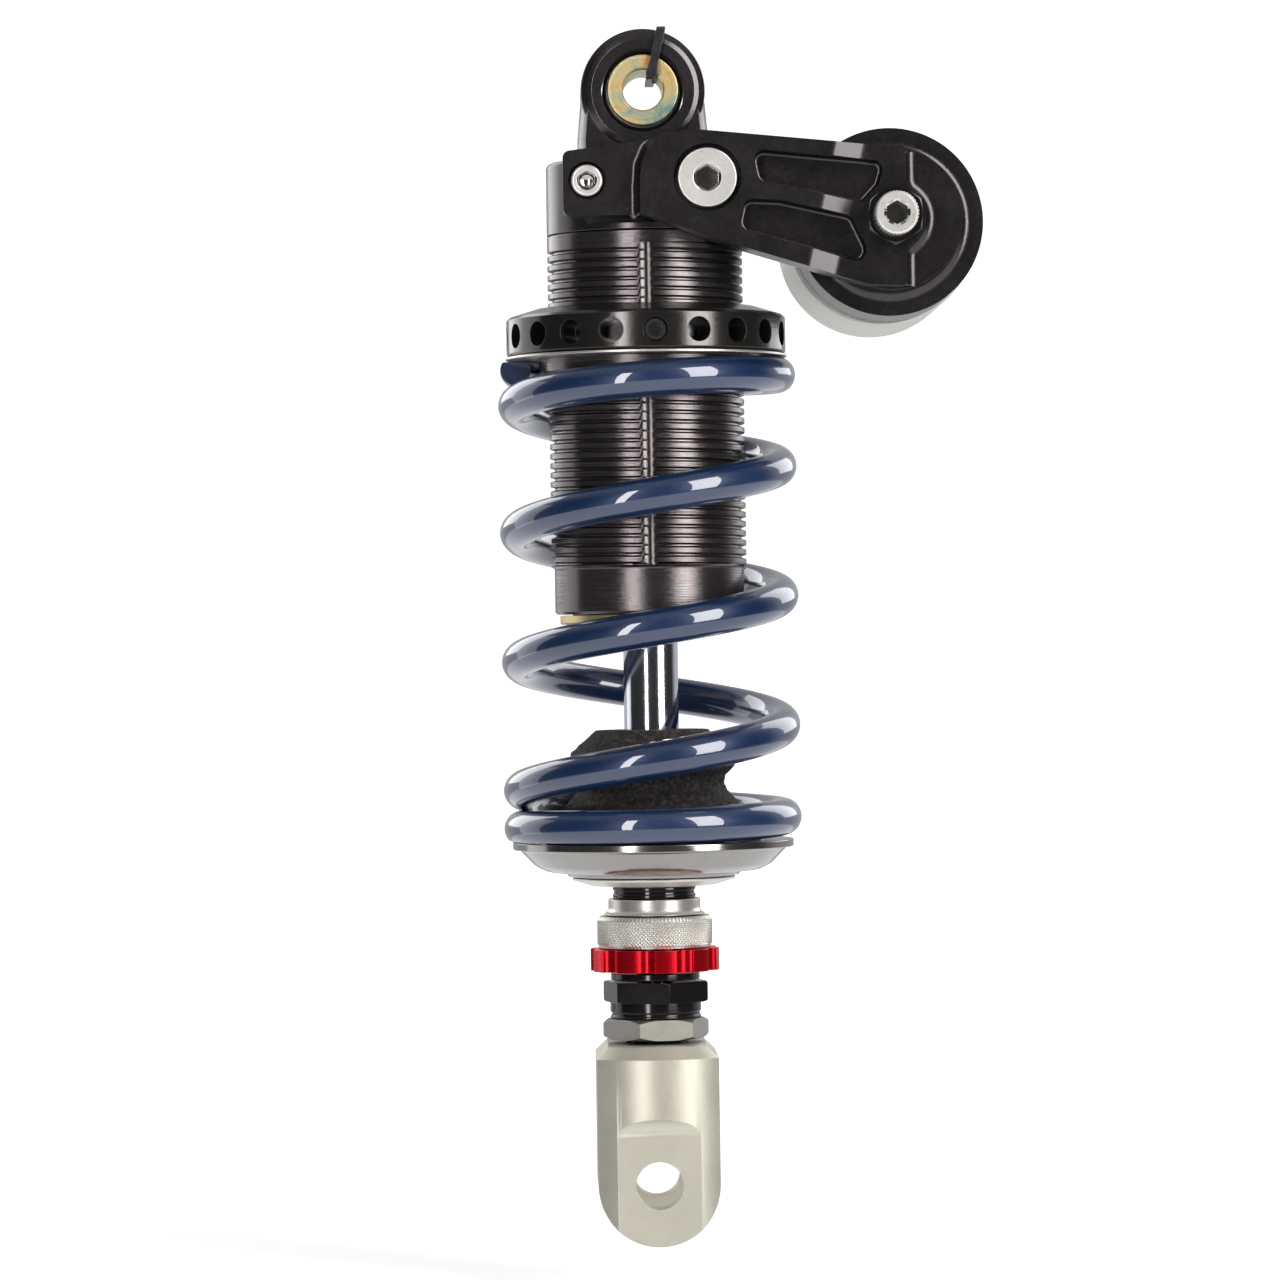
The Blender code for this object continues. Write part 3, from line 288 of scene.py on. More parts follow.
STAINLESS_NUT = metal("stainless_nut", (0.40, 0.39, 0.35), 0.36, 0.85, mottle=0.07, grain=0.3,
                      lines=0.2)
CHROME = metal("hard_chrome", (0.72, 0.75, 0.79), 0.13, 1.0, mottle=0.03, spread=0.02, lines=0.05)
RED = metal("red_anodised", (0.60, 0.003, 0.012), 0.24, 0.85, mottle=0.03, spread=0.01,
            tint=(0.66, 0.005, 0.016))
BRONZE = metal("sintered_bronze", (0.45, 0.30, 0.14), 0.42, 0.9, grain=0.5)
STEEL = metal("ground_steel", (0.45, 0.45, 0.46), 0.3, 1.0, lines=0.4)
ZINC = zinc()
SPRING_BLUE = spring_paint()
FOAM = foam()
RUBBER = polymer("nitrile_rubber", (0.015, 0.015, 0.015), 0.62)
NYLON = polymer("nylon_strap", (0.014, 0.014, 0.016), 0.34, 500.0, 0.15)
PTFE = polymer("bronze_filled_ptfe", (0.25, 0.13, 0.07), 0.5)


# ---- Mesh helpers ----

def new_object(name, verts, faces):
    mesh = bpy.data.meshes.new(name)
    mesh.from_pydata([tuple(v) for v in verts], [], [tuple(f) for f in faces])
    mesh.validate()
    made = bpy.data.objects.new(name, mesh)
    bpy.context.scene.collection.objects.link(made)
    return made


@contextmanager
def editing(mesh):
    work = bmesh.new()
    work.from_mesh(mesh)
    yield work
    work.to_mesh(mesh)
    work.free()


def tidy(made, merge=0.004):
    """Merges doubled points and makes every face look outward."""
    with editing(made.data) as work:
        bmesh.ops.remove_doubles(work, verts=work.verts, dist=merge * MM)
        bmesh.ops.dissolve_degenerate(work, edges=work.edges, dist=1e-7)
        bmesh.ops.recalc_face_normals(work, faces=work.faces)
    return made


def soften(points, radius, closed=True, steps=4):
    """The outline with its corners rounded. A point may carry its own radius as a third number."""
    outline = []
    total = len(points)
    for i, point in enumerate(points):
        here = Vector(point[:2])
        want = point[2] if len(point) > 2 else radius
        if not closed and i in (0, total - 1):
            outline.append(tuple(here))
            continue
        before = Vector(points[i - 1][:2]) - here
        after = Vector(points[(i + 1) % total][:2]) - here
        angle = before.angle(after)
        if want <= 0.0 or angle > math.radians(176.0) or angle < math.radians(4.0):
            outline.append(tuple(here))
            continue
        reach = min(want / math.tan(angle / 2), 0.46 * before.length, 0.46 * after.length)
        actual = reach * math.tan(angle / 2)
        before.normalize()
        after.normalize()
        centre = here + (before + after).normalized() * (actual / math.sin(angle / 2))
        start = here + before * reach - centre
        end = here + after * reach - centre
        turn = start.angle_signed(end)
        count = max(1, math.ceil(abs(turn) / (math.pi / 2) * steps))
        for step in range(count + 1):
            spoke = start.copy()
            spoke.rotate(Matrix.Rotation(-turn * step / count, 2))
            outline.append(tuple(centre + spoke))
    return outline


def resample(outline, spacing, inner=-math.inf):
    """A closed outline with added points. Edges that start within inner are cut in four."""
    dense = []
    for i, here in enumerate(outline):
        there = outline[(i + 1) % len(outline)]
        count = max(1, round(math.dist(here, there) / spacing)) if here[0] > inner else 4
        dense += [(here[0] + (there[0] - here[0]) * k / count,
                   here[1] + (there[1] - here[1]) * k / count) for k in range(count)]
    return dense


def lathe(name, profile, segments=96, axis="Z", centre=ORIGIN, radius=0.25, steps=4,
          wobble=None):
    """A turned solid. The profile lists (radius, height) round its section."""
    closed = profile[0][0] > 1e-6
    outline = soften(profile, radius, closed, steps)
    verts, rings = [], []
    cx, cy, cz = centre
    for r, h in outline:
        ring = []
        for k in range(segments if r > 1e-6 else 1):
            angle = TAU * k / segments
            reach = r if wobble is None else r + wobble(r, h, angle)
            u, v = reach * math.cos(angle), reach * math.sin(angle)
            place = (cx + u, cy + v, cz + h) if axis == "Z" else (cx + u, cy - h, cz + v)
            ring.append(len(verts))
            verts.append(tuple(x * MM for x in place))
        rings.append(ring)
    faces = []
    count = len(rings)
    for i in range(count if closed else count - 1):
        a, b = rings[i], rings[(i + 1) % count]
        for k in range(segments):
            j = (k + 1) % segments
            if len(a) == 1 and len(b) == 1:
                continue
            if len(a) == 1:
                faces.append((a[0], b[k], b[j]))
            elif len(b) == 1:
                faces.append((a[k], b[0], a[j]))
            else:
                faces.append((a[k], b[k], b[j], a[j]))
    return tidy(new_object(name, verts, faces))


def prism(name, outline, low, high, axis="Y"):
    """An outline extruded along an axis. Across Y it is (X, Z), and low and high are forward."""
    verts, total = [], len(outline)
    for level in (low, high):
        for u, v in outline:
            if axis == "Y":
                place = (u, -level, v)
            elif axis == "X":
                place = (level, u, v)
            else:
                place = (u, v, level)
            verts.append(tuple(x * MM for x in place))
    faces = [tuple(range(total)), tuple(range(2 * total - 1, total - 1, -1))]
    for i in range(total):
        j = (i + 1) % total
        faces.append((i, total + i, total + j, j))
    made = new_object(name, verts, faces)
    return tidy(made, 0.0005)


def rod(name, radius, start, end, sides=48):
    start, end = Vector(start) * MM, Vector(end) * MM
    along = end - start
    mesh = bpy.data.meshes.new(name)
    work = bmesh.new()
    bmesh.ops.create_cone(work, cap_ends=True, segments=sides, radius1=radius * MM,
                          radius2=radius * MM, depth=along.length)
    turn = along.to_track_quat("Z", "Y").to_matrix().to_4x4()
    work.transform(Matrix.Translation((start + end) / 2) @ turn)
    work.to_mesh(mesh)
    work.free()
    made = bpy.data.objects.new(name, mesh)
    bpy.context.scene.collection.objects.link(made)
    return made


def block(name, low, high):
    lx, ly, lz = low
    hx, hy, hz = high
    return prism(name, [(lx, ly), (hx, ly), (hx, hy), (lx, hy)], lz, hz, "Z")


def drop(made):
    mesh = made.data
    bpy.data.objects.remove(made, do_unlink=True)
    bpy.data.meshes.remove(mesh)


def apply_modifiers(made):
    bpy.context.view_layer.update()
    graph = bpy.context.evaluated_depsgraph_get()
    mesh = bpy.data.meshes.new_from_object(made.evaluated_get(graph))
    old = made.data
    made.modifiers.clear()
    made.data = mesh
    bpy.data.meshes.remove(old)
    return made


def carve(made, operation, *others):
    """Joins, cuts or trims a solid with others, which are used up."""
    for other in others:
        change = made.modifiers.new("Carve", "BOOLEAN")
        change.operation = operation
        change.solver = "EXACT"
        change.object = other
    apply_modifiers(made)
    for other in others:
        drop(other)
    return made


def cut(made, *others):
    return carve(made, "DIFFERENCE", *others)


def clean(made, angle=0.6, merge=0.02):
    """Merges near points and rejoins flat faces that a cut has split."""
    with editing(made.data) as work:
        bmesh.ops.remove_doubles(work, verts=work.verts, dist=merge * MM)
        bmesh.ops.dissolve_limit(work, angle_limit=math.radians(angle), verts=work.verts,
                                 edges=work.edges, delimit={"NORMAL"})
    return made


def round_edges(made, width, angle=32.0, steps=3):
    change = made.modifiers.new("Round", "BEVEL")
    change.width, change.segments = width * MM, steps
    change.angle_limit = math.radians(angle)
    change.miter_outer = "MITER_ARC"
    return apply_modifiers(made)


def round_weighed(made, weigh, width, steps, clamp=True):
    """Rounds the edges that weigh_edges gives a weight."""
    weigh_edges(made, weigh)
    change = made.modifiers.new("Fillet", "BEVEL")
    change.width, change.segments = width * MM, steps
    change.limit_method = "WEIGHT"
    change.use_clamp_overlap = clamp
    return apply_modifiers(made)


def hexagon(flats, turn):
    corner = flats / 2 / math.cos(math.pi / 6)
    return [(corner * math.sin(math.radians(turn + 60 * i)),
             -corner * math.cos(math.radians(turn + 60 * i))) for i in range(6)]


def arc(centre, radius, start, end, count):
    return [(centre[0] + radius * math.cos(math.radians(start + (end - start) * i / count)),
             centre[1] + radius * math.sin(math.radians(start + (end - start) * i / count)))
            for i in range(count + 1)]


def settle(made, material, node=None, angle=38.0, weighted=True):
    """Gives a piece its finish, smooth shading and body, and lets it stand for its CAD node."""
    node = node or made.name.removesuffix("_look")
    made.data.materials.clear()
    made.data.materials.append(material)
    made.data.shade_smooth()
    made.data.set_sharp_from_angle(angle=math.radians(angle))
    if weighted:
        change = made.modifiers.new("Even", "WEIGHTED_NORMAL")
        change.keep_sharp = True
        change.weight = 80
    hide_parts(node)
    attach(made, BODY_OF[node])
    return made


def turned(node, material, profile, segments=96, radius=0.25, axis="Z", centre=ORIGIN):
    """A turned piece in its finish, in the place of its CAD node."""
    return settle(lathe(f"{node}_look", profile, segments, axis, centre, radius), material)


def on_reservoir(name, profile, segments=64, radius=0.0, wobble=None):
    """A turned form on the reservoir's axis."""
    return lathe(name, profile, segments, "Y", (RX, 0.0, RZ), radius, wobble=wobble)


def second_finish(made, material, chosen):
    """Gives the faces of a settled piece whose centres pass a test another finish."""
    made.data.materials.append(material)
    for face in made.data.polygons:
        if chosen(face.center / MM):
            face.material_index = 1


# ---- Top eye, head and bearing ----

def top_eye():
    eye = lathe("shock_head_look", [
        (0.0, 9.0), (13.1, 9.0, 0.35), (14.3, 8.5, 0.5), (15.9, 7.2, 1.0),
        (15.9, -7.2, 1.0), (14.3, -8.5, 0.5), (13.1, -9.0, 0.35), (0.0, -9.0),
    ], 128, "Y")
    neck = lathe("neck_form", [(0.0, -2.0), (15.9, -2.0), (16.8, -12.0), (16.8, -19.0),
                               (0.0, -19.0)], 128, radius=0.0)
    for name, y0, y1 in (("cheek_a", -22.0, -8.1), ("cheek_b", 8.1, 22.0)):
        cut(neck, block(name, (-20.0, y0, -14.5), (20.0, y1, 0.0)))
    drum = lathe("drum_form", [(0.0, -18.0), (25.0, -18.0, 1.2), (25.0, -36.4, 0.2),
                               (19.7, -36.4), (19.7, -43.0), (0.0, -43.0)], 128)
    carve(eye, "UNION", neck, drum)
    seat = block("seat_form", (-30.0, -40.0, -34.9), (30.0, -20.2, -17.5))
    neck_seat = block("neck_seat_form", (-22.0, -40.0, -19.5), (72.0, -20.2, -10.0))
    bore = rod("bore_form", 10.6, (0, -20, 0), (0, 20, 0), 96)
    small = rod("small_form", 2.8, (-14.8, -30, -24.6), (-14.8, -9.5, -24.6), 24)
    large = rod("large_form", 4.3, (15.3, -30, -24.6), (15.3, -7.5, -24.6), 32)
    cut(eye, seat, neck_seat, bore, small, large)
    clean(eye)
    round_edges(eye, 0.3)
    settle(eye, BLACK_HEAD)

    race = [(10.3, 5.5), (10.3, -5.5)]
    race += [(math.sqrt(9.5 ** 2 - h ** 2), h) for h in np.linspace(-5.5, 5.5, 9)]
    settle(lathe("bearing_race_look", race, 96, "Y", radius=0.0), STEEL)
    reach = math.degrees(math.asin(6.4 / 9.2))
    ball = [(6.2, -6.4), (6.2, 6.4)] + arc((0.0, 0.0), 9.2, reach, -reach, 20)
    settle(lathe("bearing_ball_look", ball, 96, "Y", radius=0.0), CHROME)
    for side, sign in (("front", 1), ("rear", -1)):
        h = sign * 6.2
        settle(lathe(f"bearing_circlip_{side}_look", [
            (9.35, h - 0.4), (9.35, h + 0.4), (10.3, h + 0.4), (10.3, h - 0.4),
        ], 96, "Y", radius=0.12), BLACK_GLOSS)
        hat = [(5.1, 0.2), (5.1, 9.5, 0.0), (5.6, 10.0, 0.1), (9.0, 10.0, 0.35), (9.0, 6.9),
               (5.9, 6.9), (5.9, 0.2)]
        hat = [(p[0], sign * p[1], *p[2:]) for p in hat]
        spacer = lathe(f"eye_spacer_{side}_look", hat, 96, "Y", radius=0.12)
        settle(spacer, ZINC)


def cable_tie():
    """The transport tie: a flat strap with teeth and its lock, slanting over the eye."""
    top, low, front = 16.0, 3.1, 10.9
    loop = soften([(-front, low, 1.6), (front, low, 1.6), (front, 10.0, 3.0), (9.6, top, 3.4),
                   (-9.6, top, 3.4), (-front, 10.0, 3.0)], 2.0, True, 6)
    dense = resample(loop, 0.35)
    section = soften([(-1.15, -0.45), (1.15, -0.45), (1.15, 0.45), (-1.15, 0.45)], 0.2, True, 3)
    verts, faces = [], []
    total, sides = len(dense), len(section)
    for i, (y, z) in enumerate(dense):
        back, ahead = dense[i - 1], dense[(i + 1) % total]
        along = Vector((0.0, ahead[0] - back[0], ahead[1] - back[1])).normalized()
        out = Vector((0.0, along.z, -along.y))
        x = 2.0 + 2.9 * (z - low) / (top - low)
        ridge = 0.12 if i % 3 == 0 else 0.0
        for across, thick in section:
            height = thick + (ridge if thick < 0.0 and abs(across) < 0.95 else 0.0)
            place = Vector((x + across, y, z)) + out * height
            verts.append(tuple(place * MM))
    for i in range(total):
        j = (i + 1) % total
        for k in range(sides):
            m = (k + 1) % sides
            faces.append((i * sides + k, j * sides + k, j * sides + m, i * sides + m))
    strap = tidy(new_object("cable_tie_look", verts, faces), 0.001)
    lock = prism("tie_lock", soften([(0.5, 3.0), (3.7, 3.5), (3.9, 6.9), (1.5, 6.6)], 0.7), 10.6,
                 12.6, "Y")
    tail = prism("tie_tail", soften([(2.2, 1.4), (3.1, 1.3), (3.5, 4.0), (2.3, 4.2)], 0.3), 11.0,
                 12.0, "Y")
    for extra in (lock, tail):
        round_edges(extra, 0.25)
    with editing(strap.data) as work:
        for extra in (lock, tail):
            work.from_mesh(extra.data)
            drop(extra)
    settle(strap, NYLON)


# ---- Damper tube, seals and rod ----

def wrapped(columns, rows):
    """The faces that join columns of points all the way round, and each column to itself."""
    return [(c * rows + i, c * rows + (i + 1) % rows,
             (c + 1) % columns * rows + (i + 1) % rows, (c + 1) % columns * rows + i)
            for c in range(columns) for i in range(rows)]


THREAD_FORM = ((0.00, -0.16), (0.06, 0.0), (0.54, 0.0), (0.60, -0.16), (0.68, -0.95),
               (0.74, -1.2), (0.86, -1.2), (0.92, -0.95))


def threaded(name, radius, top, bottom, pitch, form, before, after, columns=180, groove=None):
    """A turned solid with a helical thread between two heights.

    before and after are the (radius, height) points of the section that come before the thread's
    top and after its bottom. groove is the half width and floor radius of a keyway at the front.
    """
    angles = [TAU * k / columns - math.pi / 2 for k in range(columns)]
    if groove:
        edge = math.asin(groove[0] / radius)
        front = -math.pi / 2
        angles = [a for a in angles if abs(a - front) > edge + 0.01
                  and abs(a - front - TAU) > edge + 0.01]
        inside = [front + edge * s for s in np.linspace(-0.995, 0.995, 11)]
        angles += [front - edge * 1.02, front + edge * 1.02, *inside]
        angles.sort()
    before = soften(before, 0.2, False)
    after = soften(after, 0.2, False)
    turns = (top - bottom) / pitch
    levels = []
    for n in range(-1, math.ceil(turns) + 1):
        levels += [(n + share, depth) for share, depth in form]
    verts = []
    rows = len(before) + len(levels) + len(after)
    for angle in angles:
        lag = (angle + math.pi / 2) / TAU
        keyed = groove is not None and abs(angle + math.pi / 2) <= edge * 0.999
        column = list(before)
        for share, depth in levels:
            z = top - pitch * (share + lag)
            if z >= top:
                column.append((radius, top))
            elif z <= bottom:
                column.append((radius, bottom))
            else:
                column.append((radius + depth, z))
        if keyed:
            share = (angle + math.pi / 2) / edge
            floor = groove[1] + 0.5 * share * share
            column[len(before):] = [(min(r, floor), z) for r, z in column[len(before):]]
        column += after
        for r, z in column:
            verts.append((r * math.cos(angle) * MM, r * math.sin(angle) * MM, z * MM))
    return tidy(new_object(name, verts, wrapped(len(angles), rows)), 0.003)


def damper():
    tube = threaded(
        "damper_tube_look", 25.0, -39.8, -121.0, 2.4, THREAD_FORM,
        [(20.0, -133.2), (20.0, -36.7), (25.0, -36.7), (25.0, -39.75)],
        [(25.0, -121.05), (24.3, -121.6), (24.25, -122.0), (24.25, -132.6), (23.7, -133.2)],
        192, (1.6, 23.65))
    settle(tube, BLACK_TURNED, angle=30.0)
    turned("seal_head", GOLD, [
        (11.0, -135.8), (11.0, -124.5), (8.3, -124.5), (8.3, -118.0), (19.7, -118.0),
        (19.7, -133.5), (23.0, -133.5, 0.15), (23.0, -135.8, 0.5), (14.6, -135.8, 0.2),
        (14.6, -135.1, 0.2), (13.2, -135.1, 0.2), (13.2, -135.8, 0.2)], 128)
    turned("rod_bushing", BRONZE, [
        (7.3, -124.2), (7.3, -118.5), (8.0, -118.5), (8.0, -124.2)], 64, 0.15)
    turned("rod_seal", RUBBER, [
        (7.3, -129.0), (7.3, -124.8), (10.7, -124.8), (10.7, -129.0)], 64, 0.5)
    turned("dust_wiper", RUBBER, [
        (7.9, -134.6), (8.6, -129.4), (10.7, -129.4), (10.7, -135.6), (7.3, -137.0),
        (7.3, -135.8)], radius=0.2)
    turned("piston_rod", CHROME, [
        (3.2, -215.7), (3.2, -87.0), (5.0, -87.0), (5.0, -111.0), (7.0, -111.0, 0.6),
        (7.0, -215.7, 0.4)])
    turned("topout_washer", STEEL, [
        (5.3, -110.7), (5.3, -109.2), (11.0, -109.2), (11.0, -110.7)], 64)
    turned("rebound_shims", STEEL, [
        (5.3, -108.9), (5.3, -107.0), (15.0, -107.0, 0.05), (15.0, -107.3, 0.05),
        (13.4, -107.4, 0.05), (13.4, -107.7, 0.05), (11.8, -107.8, 0.05), (11.8, -108.1, 0.05),
        (10.2, -108.2, 0.05), (10.2, -108.9, 0.05)], 64, 0.05)
    turned("compression_shims", STEEL, [
        (5.3, -96.4), (5.3, -94.5), (10.2, -94.5, 0.05), (10.2, -95.2, 0.05), (11.8, -95.3, 0.05),
        (11.8, -95.6, 0.05), (13.4, -95.7, 0.05), (13.4, -96.0, 0.05), (15.0, -96.1, 0.05),
        (15.0, -96.4, 0.05)], 64, 0.05)
    turned("damper_piston", CHAMPAGNE, [
        (5.3, -106.7), (5.3, -96.7), (8.5, -96.7), (8.5, -97.5), (15.6, -97.5), (15.6, -96.7),
        (19.5, -96.7), (19.5, -98.5), (17.9, -98.5), (17.9, -104.9), (19.5, -104.9), (19.5, -106.7),
        (15.6, -106.7), (15.6, -105.9), (8.5, -105.9), (8.5, -106.7)])
    turned("piston_band", PTFE, [
        (18.2, -104.6), (18.2, -98.8), (19.7, -98.8), (19.7, -104.6)], radius=0.2)
    nut = prism("piston_nut_look", hexagon(15.0, 0.0), -94.2, -88.0, "Z")
    crown = lathe("crown_form", [(0.0, -87.0), (7.6, -87.7), (8.7, -88.5), (8.7, -94.8),
                                 (0.0, -95.0)], 64, radius=0.0)
    carve(nut, "INTERSECT", crown)
    cut(nut, rod("nut_bore", 5.3, (0, 0, -96), (0, 0, -86)))
    settle(round_edges(clean(nut), 0.2), STEEL)
    needle = lathe("rebound_needle_look", [
        (0.0, -113.0), (0.8, -113.0), (2.8, -122.0), (2.8, -223.0), (0.0, -223.0)], 32)
    cut(needle, rod("pin_hole", 1.3, (-5, 0, -221.5), (5, 0, -221.5), 24))
    settle(needle, STEEL)
    settle(round_edges(rod("needle_pin_look", 1.0, (-9.9, 0, -221.5), (9.9, 0, -221.5), 32), 0.2),
           STEEL)


# ---- Spring, collar and seat ----

TURNS = 5.05
STEPS_PER_TURN = 96
WIRE = 4.65
COIL = 33.5
WIRE_START = -70.4
GROUND_TOP = -68.3
GROUND_BOTTOM = -191.0


def ramped(turn, breaks):
    rise = min(max((turn - breaks[0]) / (breaks[1] - breaks[0]), 0.0), 1.0)
    fall = min(max((breaks[3] - turn) / (breaks[3] - breaks[2]), 0.0), 1.0)
    return min(rise, fall)


def coil_spring():
    """The wire swept along its helix. Only the open coils give way when the spring is pressed."""
    count = round(TURNS * STEPS_PER_TURN)
    heights, given = [WIRE_START], [0.0]
    for i in range(count):
        turn = TURNS * (i + 0.5) / count
        pitch = 4.4 + (33.1 - 4.4) * ramped(turn, (0.55, 1.15, 3.9, 4.45))
        heights.append(heights[-1] - pitch * TURNS / count)
        given.append(given[-1] + ramped(turn, (1.0, 1.35, 3.7, 4.02)))
    sides = 36
    verts, weights = [], []
    for i, height in enumerate(heights):
        angle = math.pi - TAU * TURNS * i / count
        centre = Vector((COIL * math.cos(angle), COIL * math.sin(angle), height))
        out = Vector((math.cos(angle), math.sin(angle), 0.0))
        slope = (heights[min(i + 1, count)] - heights[max(i - 1, 0)])
        slope /= (min(i + 1, count) - max(i - 1, 0)) * TAU * TURNS / count * COIL
        along = Vector((math.sin(angle), -math.cos(angle), slope)).normalized()
        up = along.cross(out).normalized()
        if up.z < 0.0:
            up = -up
        end = min(i, count - i)
        radius = WIRE if end >= 6 else WIRE * math.sqrt(1.0 - (1.0 - end / 6.0) ** 2 * 0.30)
        for k in range(sides):
            spoke = TAU * k / sides
            place = centre + (out * math.cos(spoke) + up * math.sin(spoke)) * radius
            place.z = min(max(place.z, GROUND_BOTTOM), GROUND_TOP)
            verts.append(tuple(place * MM))
            weights.append(given[i] / given[-1])
    faces = []
    for i in range(count):
        for k in range(sides):
            m = (k + 1) % sides
            a, b = i * sides, (i + 1) * sides
            faces.append((a + k, b + k, b + m, a + m))
    faces.append(tuple(range(sides)))
    faces.append(tuple(range((count + 1) * sides - 1, count * sides - 1, -1)))
    spring = new_object("coil_spring_look", verts, faces)
    with editing(spring.data) as work:
        bmesh.ops.recalc_face_normals(work, faces=work.faces)
    spring.data.materials.append(SPRING_BLUE)
    spring.data.shade_smooth()
    spring.data.set_sharp_from_angle(angle=math.radians(38.0))
    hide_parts("coil_spring")
    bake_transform(spring, "damper_body", "rod_assembly", start=(0.0, 0.0, GROUND_TOP * MM),
             end=(0.0, 0.0, GROUND_BOTTOM * MM))
    spring.data.attributes["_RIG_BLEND"].data.foreach_set("value", np.array(weights, np.float32))


HOLES = 20
HOLE_TURN = 2.9
HOLE_HEIGHT = -62.4


def on_spoke(name, radius, inner, outer, hole=0, sides=48):
    """A rod along one of the collar's holes, between two distances from the axis."""
    angle = math.radians(HOLE_TURN + 360.0 / HOLES * hole)
    out = Vector((math.sin(angle), -math.cos(angle), 0.0))
    level = Vector((0.0, 0.0, HOLE_HEIGHT))
    return rod(name, radius, out * inner + level, out * outer + level, sides)


def preload_collar():
    collar = lathe("preload_collar_look", [
        (25.3, -67.1, 0.5), (25.3, -55.2, 0.5), (28.4, -55.2, 0.3), (34.9, -57.2, 0.2),
        (35.75, -58.0, 0.25), (35.75, -66.6, 0.2), (35.3, -67.1, 0.2),
    ], 160)
    for i in range(HOLES):
        cut(collar, on_spoke("drill", 3.1, 28.75, 40.0, i, 40))
    clean(collar, 0.3, 0.01)
    round_edges(collar, 0.34, 42.0)
    settle(collar, BLACK_COLLAR)
    screw = on_spoke("collar_set_screw_look", 2.7, 29.2, 34.9)
    cut(screw, on_spoke("socket", 1.75, 32.4, 37.0, 0, 6), on_spoke("dish", 1.75, 34.2, 37.0))
    settle(round_edges(clean(screw), 0.4), SEAT_BLACK)
    washer = turned("thrust_washer", SATIN_SILVER, [
        (25.5, -72.0), (25.5, -67.4), (36.0, -67.4, 0.12), (36.0, -68.0, 0.12), (27.6, -68.0),
        (27.6, -71.4), (27.0, -72.0)], 160)
    second_finish(washer, BLACK_TURNED, lambda at: at.z < -68.05)


def bump_stop():
    def torn(r, h, angle):
        if r < 8.0:
            return 0.0
        spot = Vector((r * math.cos(angle), r * math.sin(angle), h))
        return 0.28 * noise.fractal(spot * 1.1, 0.9, 2.0, 4) + 0.12 * noise.noise(spot * 3.1)

    outline = soften([
        (7.4, -188.7), (7.4, -163.0), (14.25, -163.0, 0.6), (20.6, -168.6, 0.8),
        (21.0, -169.6, 0.5), (21.0, -172.6, 0.8), (18.8, -174.8, 1.2), (18.2, -176.6, 1.2),
        (19.0, -178.6, 1.2), (22.3, -182.2, 1.0), (22.6, -184.0, 0.8), (22.6, -188.7, 0.5),
    ], 0.4, True, 4)
    dense = [(*place, 0.0) for place in resample(outline, 0.45, 7.5)]
    stop = lathe("bump_stop_look", dense, 240, radius=0.0, wobble=torn)
    stop.data.materials.append(FOAM)
    stop.data.shade_smooth()
    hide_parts("bump_stop")
    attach(stop, "rod_assembly")
    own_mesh(stop)


def lower_seat():
    bump_stop()
    turned("spring_seat", SEAT_BLACK, [
        (7.6, -200.3), (7.6, -189.0), (23.4, -189.0), (23.4, -186.0, 0.4), (27.0, -186.0, 0.3),
        (27.6, -186.7, 0.3), (27.6, -191.3, 0.3), (36.0, -191.3, 0.25), (36.0, -193.2, 0.35),
        (34.2, -193.5, 0.6), (32.4, -195.3, 3.0), (30.2, -197.6, 3.0), (27.2, -199.0, 3.0),
        (22.4, -199.5, 0.3), (21.8, -200.3, 0.2)], 160)
    turned("seat_retaining_ring", SATIN_SILVER, [
        (7.6, -202.7), (7.6, -200.6), (21.0, -200.6, 0.2), (20.6, -201.3, 0.2),
        (16.2, -202.7, 0.4)], 128)


# ---- Adjusters and clevis ----

def knurled_ring():
    radius, low, high = 14.85, -218.0, -211.4
    diamonds, steps, depth = 96, 6, 0.42
    rows = 40
    section = soften([(14.4, -218.5), (9.3, -218.5), (9.3, -210.6), (14.0, -210.6)], 0.15, False)
    verts = []
    columns = diamonds * steps
    wall = [high + (low - high) * i / rows for i in range(rows + 1)]
    size = len(section) + len(wall)
    for c in range(columns):
        angle = TAU * c / columns
        column = list(section)
        for z in wall:
            lead = z - high
            u = c / steps
            first = 1.0 - abs(2.0 * ((u + lead) % 1.0) - 1.0)
            second = 1.0 - abs(2.0 * ((u - lead) % 1.0) - 1.0)
            edge = min(1.0, (high - z) / 0.35 + 0.25, (z - low) / 0.35 + 0.25)
            peak = min(min(first, second) * 1.6, 1.0)
            column.append((radius - 0.05 - depth * (1.0 - peak * edge), z))
        for r, z in column:
            verts.append((r * math.cos(angle) * MM, r * math.sin(angle) * MM, z * MM))
    ring = tidy(new_object("knurled_ring_look", verts, wrapped(columns, size)), 0.002)
    settle(ring, KNURLED_SILVER, angle=60.0, weighted=False)


